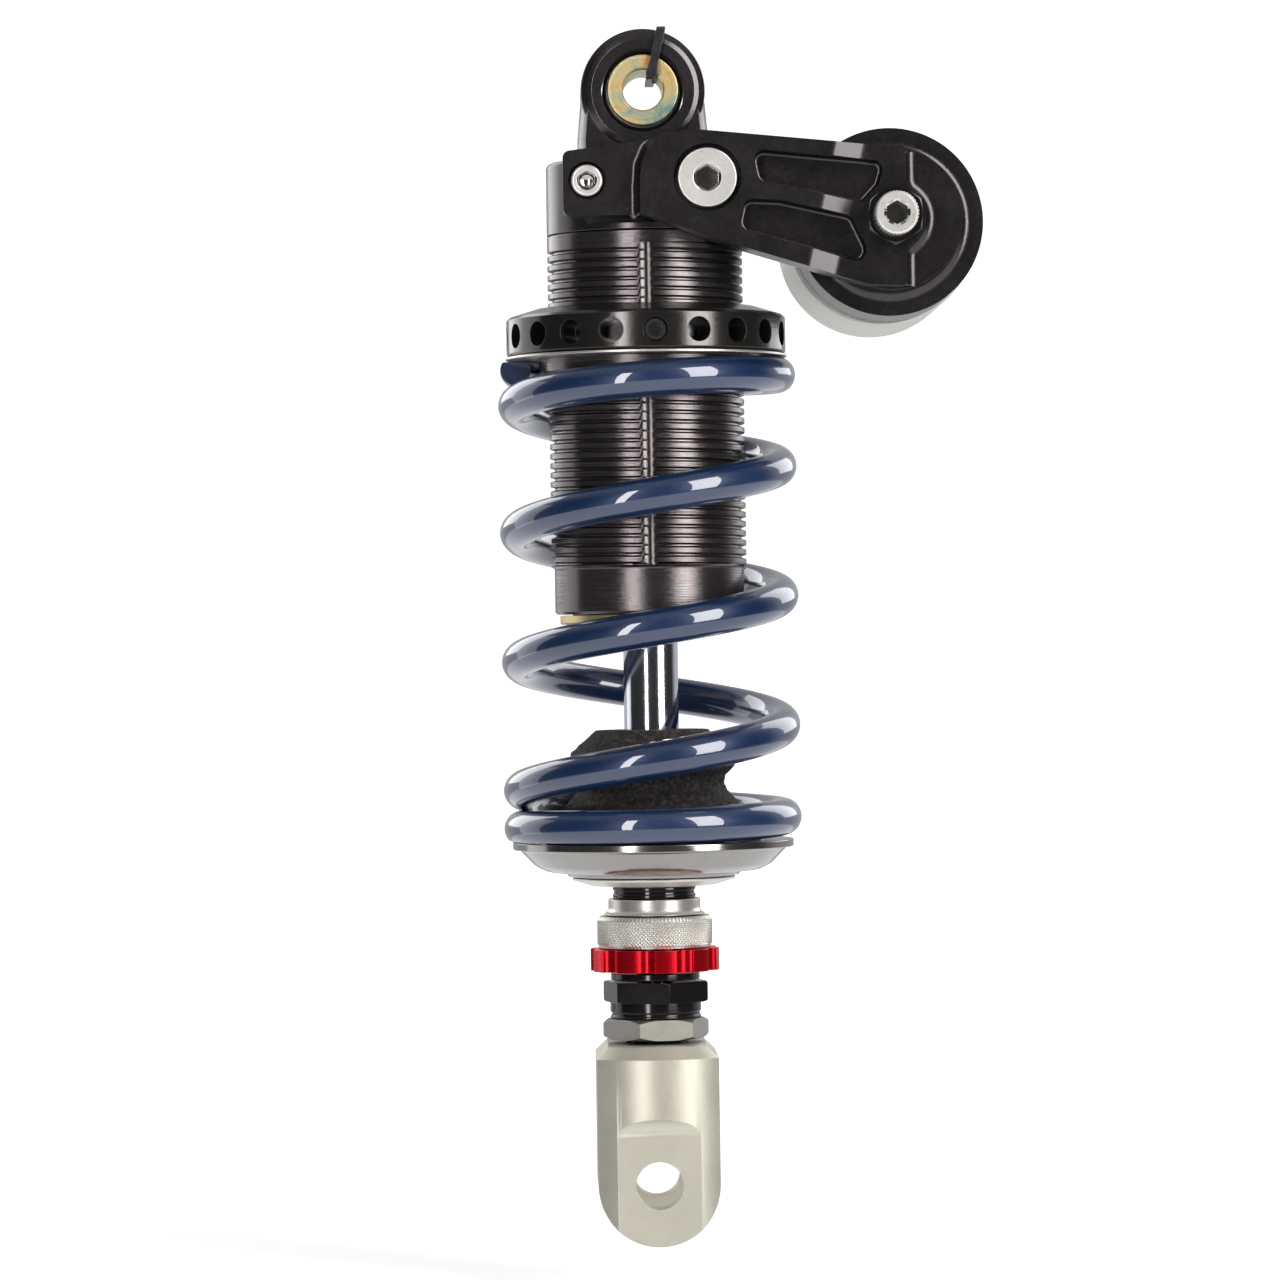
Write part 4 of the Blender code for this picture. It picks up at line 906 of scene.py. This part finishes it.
def adjusters():
    housing = lathe("adjuster_housing_look", [
        (0.0, -224.3), (3.2, -224.3), (3.2, -216.0), (7.3, -216.0), (7.3, -203.0),
        (10.65, -203.0, 0.3), (10.65, -203.9, 0.15), (10.35, -204.1, 0.15), (10.35, -204.9, 0.15),
        (10.65, -205.1, 0.15), (10.65, -205.9, 0.2), (9.0, -205.9), (9.0, -224.9), (4.5, -224.9),
        (4.5, -237.6), (0.0, -237.6),
    ], 96)
    cut(housing, block("slot", (-12, -1.3, -223.8), (12, 1.3, -219.2)))
    settle(clean(housing), BLACK_GLOSS)
    turned("adjuster_collar", SATIN_SILVER, [
        (9.3, -210.2), (9.3, -206.2), (11.8, -206.2, 0.25), (11.8, -208.6, 0.8),
        (12.1, -209.5, 0.8), (13.2, -210.2, 0.1)], 128)
    knurled_ring()
    outline = []
    lobes, knob_turn = 10, 8.5
    for i in range(lobes):
        middle = knob_turn - 90.0 + 360.0 / lobes * i
        outline += arc((0, 0), 16.5, middle - 10.0, middle + 10.0, 8)
        between = middle + 180.0 / lobes
        spot = math.radians(between)
        hollow = (18.35 * math.cos(spot), 18.35 * math.sin(spot))
        outline += arc(hollow, 3.55, between + 222.0, between + 138.0, 8)
    knob = prism("rebound_knob_look", outline, -224.6, -218.9, "Z")
    bore = lathe("bore", [(0.0, -210.0), (9.3, -210.0), (9.3, -219.2), (10.4, -219.2),
                          (10.4, -223.8), (9.3, -223.8), (9.3, -230.0), (0.0, -230.0)], 96,
                 radius=0.0)
    cut(knob, bore)
    settle(round_edges(clean(knob, 0.3), 0.3, 40.0), RED)
    turned("knob_retainer", BLACK_GLOSS, [
        (4.8, -227.0), (4.8, -225.2), (11.4, -225.2, 0.2), (11.4, -227.0, 0.4)])

    adjuster = prism("length_adjuster_look", hexagon(24.0, 14.0), -232.6, -227.3, "Z")
    crown = lathe("crown", [(0.0, -226.3), (12.6, -226.9), (14.2, -228.0), (14.2, -231.9),
                            (12.6, -233.0), (0.0, -233.6)], 96, radius=0.0)
    carve(adjuster, "INTERSECT", crown)
    stub = threaded("stud", 8.0, -237.4, -257.4, 1.5, (
        (0.0, 0.0), (0.14, 0.0), (0.46, -0.72), (0.56, -0.8), (0.64, -0.72), (0.96, 0.0)),
        [(6.2, -258.0), (6.2, -232.2), (4.8, -232.2), (4.8, -228.5), (11.65, -228.5),
         (11.65, -235.0), (11.3, -235.2), (11.3, -235.9), (11.65, -236.1), (11.65, -236.5),
         (8.0, -236.5), (8.0, -237.3)],
        [(8.0, -257.45), (7.3, -258.0)], 96)
    hole = rod("hole", 4.8, (0, 0, -220), (0, 0, -240), 64)
    cut(adjuster, hole)
    round_edges(clean(adjuster), 0.25)
    hub = rod("hub_cut", 8.4, (0, 0, -229.4), (0, 0, -240), 64)
    cut(adjuster, hub)
    carve(adjuster, "UNION", stub)
    settle(adjuster, BLACK_GLOSS)
    turned("swivel_nut", STEEL, [(4.8, -237.2), (4.8, -232.6), (5.9, -232.6), (5.9, -237.2)], 48)
    nut = prism("lock_nut_look", hexagon(24.0, -18.5), -242.0, -236.8, "Z")
    crown = lathe("crown", [(0.0, -236.0), (12.0, -236.7), (14.3, -237.95), (14.3, -240.85),
                            (12.0, -242.1), (0.0, -242.8)], 128, radius=0.0)
    carve(nut, "INTERSECT", crown)
    cut(nut, rod("nut_bore", 8.3, (0, 0, -230), (0, 0, -250), 64))
    settle(round_edges(clean(nut), 0.22), STAINLESS_NUT)


def clevis():
    bottom = -293.5
    fork = lathe("clevis_look", [
        (0.0, -243.1), (19.6, -243.1), (22.6, -246.1), (22.6, bottom - 4.0), (0.0, bottom - 4.0)],
        192, radius=0.0)
    half = 15.5
    face = [(half, -246.1), (half - 4.0, -242.1), (4.0 - half, -242.1), (-half, -246.1)]
    face += arc((0.0, -278.0), half, 180.0, 360.0, 63)
    carve(fork, "INTERSECT", prism("face_form", face, -30.0, 30.0, "Y"))
    for sign in (-1, 1):
        flat = [(sign * 40.0, bottom - 5.0), (sign * 20.0, bottom - 5.0)]
        centre = (sign * 26.0, -266.0)
        ramp = arc(centre, 6.0, 0.0, 90.0, 14)
        flat += ramp if sign < 0 else [(2 * centre[0] - y, z) for y, z in ramp]
        flat.append((sign * 40.0, -260.0))
        cut(fork, prism("flat_form", flat, -30.0, 30.0, "X"))
    slot = [(-12.0, bottom - 6.0), (12.0, bottom - 6.0)]
    slot += arc((9.0, -265.0), 3.0, 0.0, 90.0, 8) + arc((-9.0, -265.0), 3.0, 90.0, 180.0, 8)
    cut(fork, prism("slot_form", slot, -30.0, 30.0, "X"),
          rod("bolt_form", 6.0, (0, -30, -278), (0, 30, -278), 96),
          rod("stud_form", 8.3, (0, 0, -238), (0, 0, -270), 64))
    clean(fork, 0.3, 0.01)
    round_edges(fork, 0.5, 30.0, 3)
    settle(fork, CHAMPAGNE)


# ---- Arm and reservoir ----

def weigh_edges(made, weigh):
    """Stores a bevel weight on each edge from its two ends and the angle across it."""
    with editing(made.data) as work:
        layers = work.edges.layers.float
        layer = layers.get("bevel_weight_edge") or layers.new("bevel_weight_edge")
        for edge in work.edges:
            if len(edge.link_faces) == 2:
                first, second = (v.co / MM for v in edge.verts)
                edge[layer] = weigh(first, second, edge.calc_face_angle_signed(0.0))


def bracket():
    end, boss, blend = 65.0, 8.0, 4.0
    reach = math.sqrt((boss + blend) ** 2 - (end + blend - RX) ** 2)
    lean = math.degrees(math.atan2(reach, end + blend - RX))
    arm_outline = soften([
        (-1.6, -33.4, 0.8), (24.4, -42.3, 6.0), (55.4, -51.8, 6.0), (end, -52.2, 1.0),
        *arc((end + blend, RZ - reach), blend, 180.0, 180.0 - lean, 6),
        *arc((RX, RZ), boss, -lean, lean, 14)[1:],
        *arc((end + blend, RZ + reach), blend, 180.0 + lean, 180.0, 6)[1:],
        (end, -17.4, 1.0), (49.7, -16.3, 6.0), (13.6, -12.7, 8.0), (4.2, -13.3, 3.0),
        (0.6, -16.8, 3.0), (-1.2, -21.0, 3.0), (-1.6, -26.0, 3.0),
    ], 0.0, True, 5)
    arm = prism("reservoir_bracket_look", arm_outline, 20.5, 35.0, "Y")
    run = soften([(-6.0, -35.0), (0.0, -35.0, 6.0), (7.8, -32.6, 6.0), (40.0, -32.6)], 0.0,
                 False, 16)[1:]
    slope = prism("slope_form", run + [(40.0, -45.0), (run[0][0], -45.0)], -40.0, 40.0, "Z")
    slope.data.transform(Matrix.Translation((43.9 * MM, 0.0, -30.2 * MM))
                         @ Matrix.Rotation(math.radians(13.0), 4, "Y"))
    cut(arm, slope)
    piece = soften([(-20.8, -33.4, 1.8), (6.0, -33.4, 0.0), (6.0, -13.9, 0.0), (-20.8, -17.3, 1.8)],
                   0.0, True, 8)
    piece = prism("block_form", piece, 20.5, 30.0, "Y")
    cap = lathe("cap_form", [
        (0.0, -2.0), (22.1, -2.0), (22.1, -8.0), (23.85, -8.0), (23.85, 14.0), (17.8, 14.0),
        (17.8, 25.0), (0.0, 25.0)][::-1], 160, "Y", (RX, 0.0, RZ), radius=0.0)
    carve(arm, "UNION", piece, cap)
    clean(arm, 0.4, 0.02)

    def big(a, b, angle):
        foot = all(abs(p.y + 25.0) < 0.05 for p in (a, b)) and angle < -0.3
        middle = (a + b) / 2
        reach = math.hypot(middle.x - RX, middle.z - RZ)
        if foot and reach < 17.0:
            return 1.0
        step = all(abs(p.y + 30.0) < 0.05 for p in (a, b)) and angle < -0.3
        if step:
            return 0.75
        base = all(abs(p.y + 14.0) < 0.05 for p in (a, b)) and angle < -0.3 and reach < 18.5
        return 0.95 if base else 0.0

    round_weighed(arm, big, 3.0, 6, False)

    relief = rod("relief_form", 25.5, (0, 0, -60), (0, 0, -36.1), 128)
    cut(arm, relief)
    upper = soften([(26.2, -17.4), (60.0, -21.0), (58.4, -26.6), (54.0, -31.4), (28.0, -25.6)],
                   2.8, True, 8)
    lower = soften([(24.5, -29.9), (33.5, -30.4, 4.0), (51.4, -34.6), (57.4, -47.4),
                    (22.8, -37.4)], 2.8, True, 8)
    for outline in (upper, lower):
        pocket = prism("pocket_form", outline, 28.5, 45.0, "Y")
        floor = round_floor(pocket, 28.5, 1.1)
        cut(arm, floor)
    drills = (
        (4.7, -14.8, -24.6, -45.0, -25.4, 64), (2.8, -14.8, -24.6, -45.0, -15.0, 32),
        (8.5, 15.3, -24.6, -45.0, -30.6, 80), (4.3, 15.3, -24.6, -45.0, -15.0, 32),
        (5.3, RX, RZ, -45.0, -1.0, 48),
    )
    for radius, x, z, front, back, sides in drills:
        cut(arm, rod("drill", radius, (x, front, z), (x, back, z), sides))
    clean(arm, 0.4, 0.015)
    round_edges(arm, 0.32, 35.0, 3)
    settle(arm, BLACK_MILLED)


def round_floor(pocket, level, radius):
    """Rounds the lower edge of a pocket's cutter."""
    def weigh(a, b, angle):
        return 1.0 if all(abs(p.y + level) < 0.02 for p in (a, b)) else 0.0

    return round_weighed(pocket, weigh, radius, 5)


def socket_screw(name, x, z, front, outline, flats, depth, mouth):
    """A turned screw with a hex socket that has a chamfered mouth and a drilled, conical floor."""
    screw = lathe(name, outline, 96, "Y", (x, 0.0, z), radius=0.25)
    corner = flats / 2 / math.cos(math.pi / 6)
    hole = rod("hex", corner, (x, -front - 1.0, z), (x, -front + depth, z), 6)
    cone = lathe("cone", [(0.0, front + 0.5), (mouth, front + 0.5), (mouth, front),
                          (flats / 2 - 0.1, front - (mouth - flats / 2 + 0.1) * 0.7),
                          (0.0, front - 1.0)], 64, "Y", (x, 0.0, z), radius=0.0)
    tip = lathe("tip", [(0.0, front - depth + 0.2), (flats / 2 - 0.15, front - depth + 0.2),
                        (0.0, front - depth - flats * 0.28)], 64, "Y", (x, 0.0, z), radius=0.0)
    cut(screw, hole, cone, tip)
    clean(screw, 0.3, 0.01)
    round_edges(screw, 0.1, 35.0, 2)
    settle(screw, SCREW_STEEL)
    # The faces inside the socket take the darker steel: painted shade in the recess.
    second_finish(screw, SOCKET_STEEL_PAINTED_SHADE, in_socket(x, z, mouth, front))


def in_socket(x, z, mouth, front):
    return lambda at: math.hypot(at.x - x, at.z - z) < mouth and at.y > 0.05 - front


def reservoir():
    bracket()
    socket_screw("bracket_screw_small_look", -14.8, -24.6, 29.8, [
        (0.0, 29.8), (4.0, 29.8, 0.7), (4.0, 25.7), (2.5, 25.7), (2.5, 10.5), (0.0, 10.5),
    ], 4.0, 2.6, 2.6)
    socket_screw("bracket_screw_large_look", 15.3, -24.6, 34.6, [
        (0.0, 34.6), (7.4, 34.6, 0.4), (7.4, 30.9), (4.0, 30.9), (4.0, 8.5), (0.0, 8.5),
    ], 5.6, 3.0, 3.6)

    body = prism("compression_valve_body_look",
                 [(RX + u, RZ + v) for u, v in hexagon(13.4, 0.0)], 32.9, 38.6, "Y")
    crown = on_reservoir("crown", [
        (0.0, 38.6), (6.7, 38.6), (7.9, 37.9), (7.9, 32.0), (0.0, 32.0)], 96)
    carve(body, "INTERSECT", crown)
    stem = on_reservoir("stem", [(0.0, 37.6), (5.0, 37.6), (5.0, 4.0), (0.0, 4.0)])
    carve(body, "UNION", stem)
    bore = on_reservoir("bore", [
        (0.0, 50.0), (2.6, 50.0), (2.6, 12.0), (1.4, 9.0), (1.4, 0.0), (0.0, 0.0)], 48)
    cut(body, bore)
    settle(round_edges(clean(body), 0.2), BLACK_GLOSS)

    def teeth(r, h, angle):
        if h < 39.2 or h > 44.0 or r < 5.2:
            return 0.0
        wave = (angle / TAU * 38.0) % 1.0
        return -0.5 * (1.0 - min(1.0, 1.6 * (1.0 - abs(2.0 * wave - 1.0))))

    dial = lathe("compression_adjuster_look", [
        (0.0, 44.4), (4.9, 44.4, 0.15), (5.3, 44.1, 0.0), (5.5, 43.8, 0.0), (5.5, 39.5, 0.0),
        (5.15, 38.9, 0.1), (2.3, 38.9), (2.3, 31.0), (0.0, 31.0),
    ], 38 * 8, "Y", (RX, 0.0, RZ), wobble=teeth)
    corner = 2.6 / math.cos(math.pi / 6)
    hole = rod("hex", corner, (RX, -46, RZ), (RX, -41.2, RZ), 6)
    mouth = on_reservoir("mouth", [(0.0, 45.0), (3.3, 45.0), (3.3, 44.4), (2.5, 43.7), (0.0, 43.5)])
    cut(dial, hole, mouth)
    settle(clean(dial, 0.2, 0.004), SCREW_STEEL, angle=35.0)
    # The faces inside the hex socket take the darker steel: painted shade in the recess.
    second_finish(dial, SOCKET_STEEL_PAINTED_SHADE, in_socket(RX, RZ, 3.0, 44.4))

    def inner(node, material, profile, segments=128, radius=0.25):
        turned(node, material, profile, segments, radius, "Y", (RX, 0.0, RZ))

    inner("compression_needle", STEEL, [
        (0.0, 29.6), (2.2, 29.6), (2.2, 16.0), (0.6, 12.6), (0.0, 12.6)], 32)
    inner("reservoir_tube", TUBE_SILVER, [
        (21.0, -70.0), (21.0, -2.4), (21.8, -2.4), (21.8, -15.0), (24.5, -15.0, 0.5),
        (24.5, -70.0, 1.0), (22.6, -70.0, 0.2)], 192)
    inner("reservoir_seal_ring", RUBBER, [
        (22.1, -14.7), (22.1, -8.3), (22.9, -8.3), (22.9, -14.7)], 160, 0.3)
    inner("floating_piston", CHAMPAGNE, [
        (0.0, -30.0), (15.0, -30.0), (15.0, -27.0), (20.7, -27.0), (20.7, -30.6), (19.0, -30.6),
        (19.0, -33.4), (20.7, -33.4), (20.7, -37.0), (0.0, -37.0)])
    inner("floating_piston_ring", RUBBER, [
        (19.3, -33.1), (19.3, -30.9), (20.7, -30.9), (20.7, -33.1)], 96, 0.8)
    inner("reservoir_end_cap", BLACK_TURNED_Y, [
        (5.4, -68.0, 0.3), (5.4, -62.0), (20.7, -62.0), (20.7, -63.4), (19.2, -63.4),
        (19.2, -65.6), (20.7, -65.6), (20.7, -67.2), (18.0, -67.2), (17.2, -68.0, 0.3),
        (12.4, -68.0, 0.3), (11.8, -67.2, 0.3), (8.6, -67.2, 0.3), (8.0, -68.0, 0.3)])
    inner("end_cap_seal", RUBBER, [
        (19.5, -65.3), (19.5, -63.7), (20.7, -63.7), (20.7, -65.3)], 96, 0.5)
    inner("end_cap_circlip", STEEL, [
        (18.4, -68.7), (18.4, -67.5), (20.7, -67.5), (20.7, -68.7)], 128, 0.3)
    inner("gas_valve", STEEL, [
        (0.0, -58.0), (3.6, -58.0), (3.6, -61.7), (5.1, -61.7), (5.1, -66.0), (3.8, -67.0),
        (3.8, -71.0), (0.0, -71.0)], 64)

    def ribs(r, h, angle):
        if r < 5.5 or h < -74.3 or h > -69.4:
            return 0.0
        wave = (angle / TAU * 24.0) % 1.0
        return -0.35 * (abs(2.0 * wave - 1.0) ** 2)

    cap = lathe("gas_valve_cap_look", [
        (4.1, -68.8), (6.0, -68.8, 0.2), (6.0, -69.5, 0.0), (6.0, -74.2, 0.0), (5.9, -74.7, 0.3),
        (5.2, -75.2, 0.3), (0.0, -75.2), (0.0, -71.4), (4.1, -71.4)][::-1], 24 * 8, "Y",
        (RX, 0.0, RZ), wobble=ribs)
    settle(cap, BLACK_MILLED)


top_eye()
cable_tie()
damper()
coil_spring()
preload_collar()
lower_seat()
adjusters()
clevis()
reservoir()


# ---- Studio and camera ----

FLOOR = -0.3065


def studio():
    """A pale floor that sweeps up into a pale wall all round, with soft boxes and a soft world."""
    rings = [(0.001, 0.0), (0.5, 0.0), (1.0, 0.0), (1.5, 0.0)]
    rings += [(1.5 + 2.0 * math.sin(a), 2.0 - 2.0 * math.cos(a))
              for a in np.linspace(0.1, math.pi / 2, 14)]
    rings.append((3.5, 6.0))
    verts, faces, count = [], [], 96
    for r, h in rings:
        for k in range(count):
            verts.append((r * math.cos(TAU * k / count), r * math.sin(TAU * k / count), FLOOR + h))
    for i in range(len(rings) - 1):
        for k in range(count):
            j = (k + 1) % count
            faces.append((i * count + k, i * count + j, (i + 1) * count + j, (i + 1) * count + k))
    faces.append(tuple(range(count - 1, -1, -1)))
    floor = new_object("studio_floor", verts, faces)
    floor.data.shade_smooth()
    material, tree, shader, coords = material_base("studio_pale")
    parts = add(tree, "ShaderNodeSeparateXYZ", {0: coords}).outputs
    feed(tree, shader, {
        "Roughness": remap(tree, noisy(tree, coords, 3.0, 2.0), 0.0, 1.0, 0.8, 0.95),
        "Base Color": (0.86, 0.86, 0.855, 1.0), "Specular IOR Level": 0.1,
        "Emission Strength": remap(tree, distance_from(tree, parts["X"], parts["Y"]),
                                   0.15, 1.6, 0.35, 0.85, interpolation_type="SMOOTHSTEP"),
        "Emission Color": (1.0, 1.0, 0.995, 1.0)})
    floor.data.materials.append(material)
    for ray in ("diffuse", "glossy", "transmission", "shadow"):
        setattr(floor, "visible_" + ray, False)

    world = bpy.data.worlds.new("studio_world")
    bpy.context.scene.world = world
    world.use_nodes = True
    tree = world.node_tree
    coords = add(tree, "ShaderNodeTexCoord").outputs["Generated"]
    parts = add(tree, "ShaderNodeSeparateXYZ", {0: coords}).outputs
    behind, below, above = (
        remap(tree, parts[way], *values, interpolation_type="SMOOTHSTEP")
        for way, values in (("Y", (0.1, 0.6, 0.03, 0.5)), ("Z", (-0.19, -0.29, 0.0, 1.1)),
                            ("Z", (0.5, 0.95, 0.0, 0.35))))
    total = maths(tree, "MAXIMUM", maths(tree, "MAXIMUM", behind, below), above)
    feed(tree, tree.nodes["Background"], {"Strength": total, "Color": (0.97, 0.97, 1.0, 1.0)})

    def soft_box(name, azimuth, elevation, distance, width, height, watts, colour=(1, 1, 1)):
        """An area light; azimuth 0 is in front, and positive to the right."""
        lamp = bpy.data.lights.new(name, "AREA")
        lamp.shape = "RECTANGLE"
        lamp.size, lamp.size_y = width, height
        lamp.energy = watts
        lamp.color = colour
        made = bpy.data.objects.new(name, lamp)
        bpy.context.scene.collection.objects.link(made)
        a, e = math.radians(azimuth), math.radians(elevation)
        out = Vector((math.sin(a) * math.cos(e), -math.cos(a) * math.cos(e), math.sin(e)))
        target = Vector((0.01, 0.0, -0.14))
        made.location = target + out * distance
        made.rotation_mode = "QUATERNION"
        made.rotation_quaternion = out.to_track_quat("Z", "Y")
        made.visible_camera = False

    soft_box("key_right", 43.0, 21.5, 1.5, 0.62, 1.55, 23.0, (1.0, 0.985, 0.97))
    soft_box("front_left", -21.0, 14.0, 1.5, 0.22, 1.6, 10.0, (1.0, 0.97, 0.98))
    soft_box("side_left", -112.0, 8.0, 1.6, 0.8, 1.6, 3.5, (0.97, 0.98, 1.0))
    soft_box("rear_right", 135.0, 25.0, 1.7, 0.9, 1.4, 9.0)
    soft_box("rear_left", -140.0, 25.0, 1.7, 0.9, 1.4, 9.0)


SENSOR_WIDTH = 36.0
LENS = 146.25
CAMERA_PLACE = (-0.027, -1.333, -0.140)
CAMERA_YAW = 1.0467
CAMERA_ROLL = -0.86


def camera():
    """At the viewing angle: level, far off with a long lens, with the slight roll of a hand."""
    data = bpy.data.cameras.new("camera")
    made = bpy.data.objects.new("camera", data)
    bpy.context.scene.collection.objects.link(made)
    data.sensor_width = SENSOR_WIDTH
    data.lens = LENS
    data.clip_start = 0.05
    data.clip_end = 30.0
    yaw = math.radians(CAMERA_YAW)
    aim = Vector((math.sin(yaw), math.cos(yaw), 0.0))
    made.location = CAMERA_PLACE
    turn = aim.to_track_quat("-Z", "Y").to_matrix().to_4x4()
    roll = Matrix.Rotation(math.radians(CAMERA_ROLL), 4, "Z")
    made.rotation_mode = "QUATERNION"
    made.rotation_quaternion = (turn @ roll).to_quaternion()
    bpy.context.scene.camera = made
    bpy.context.scene.view_settings.view_transform = "Standard"


studio()
camera()
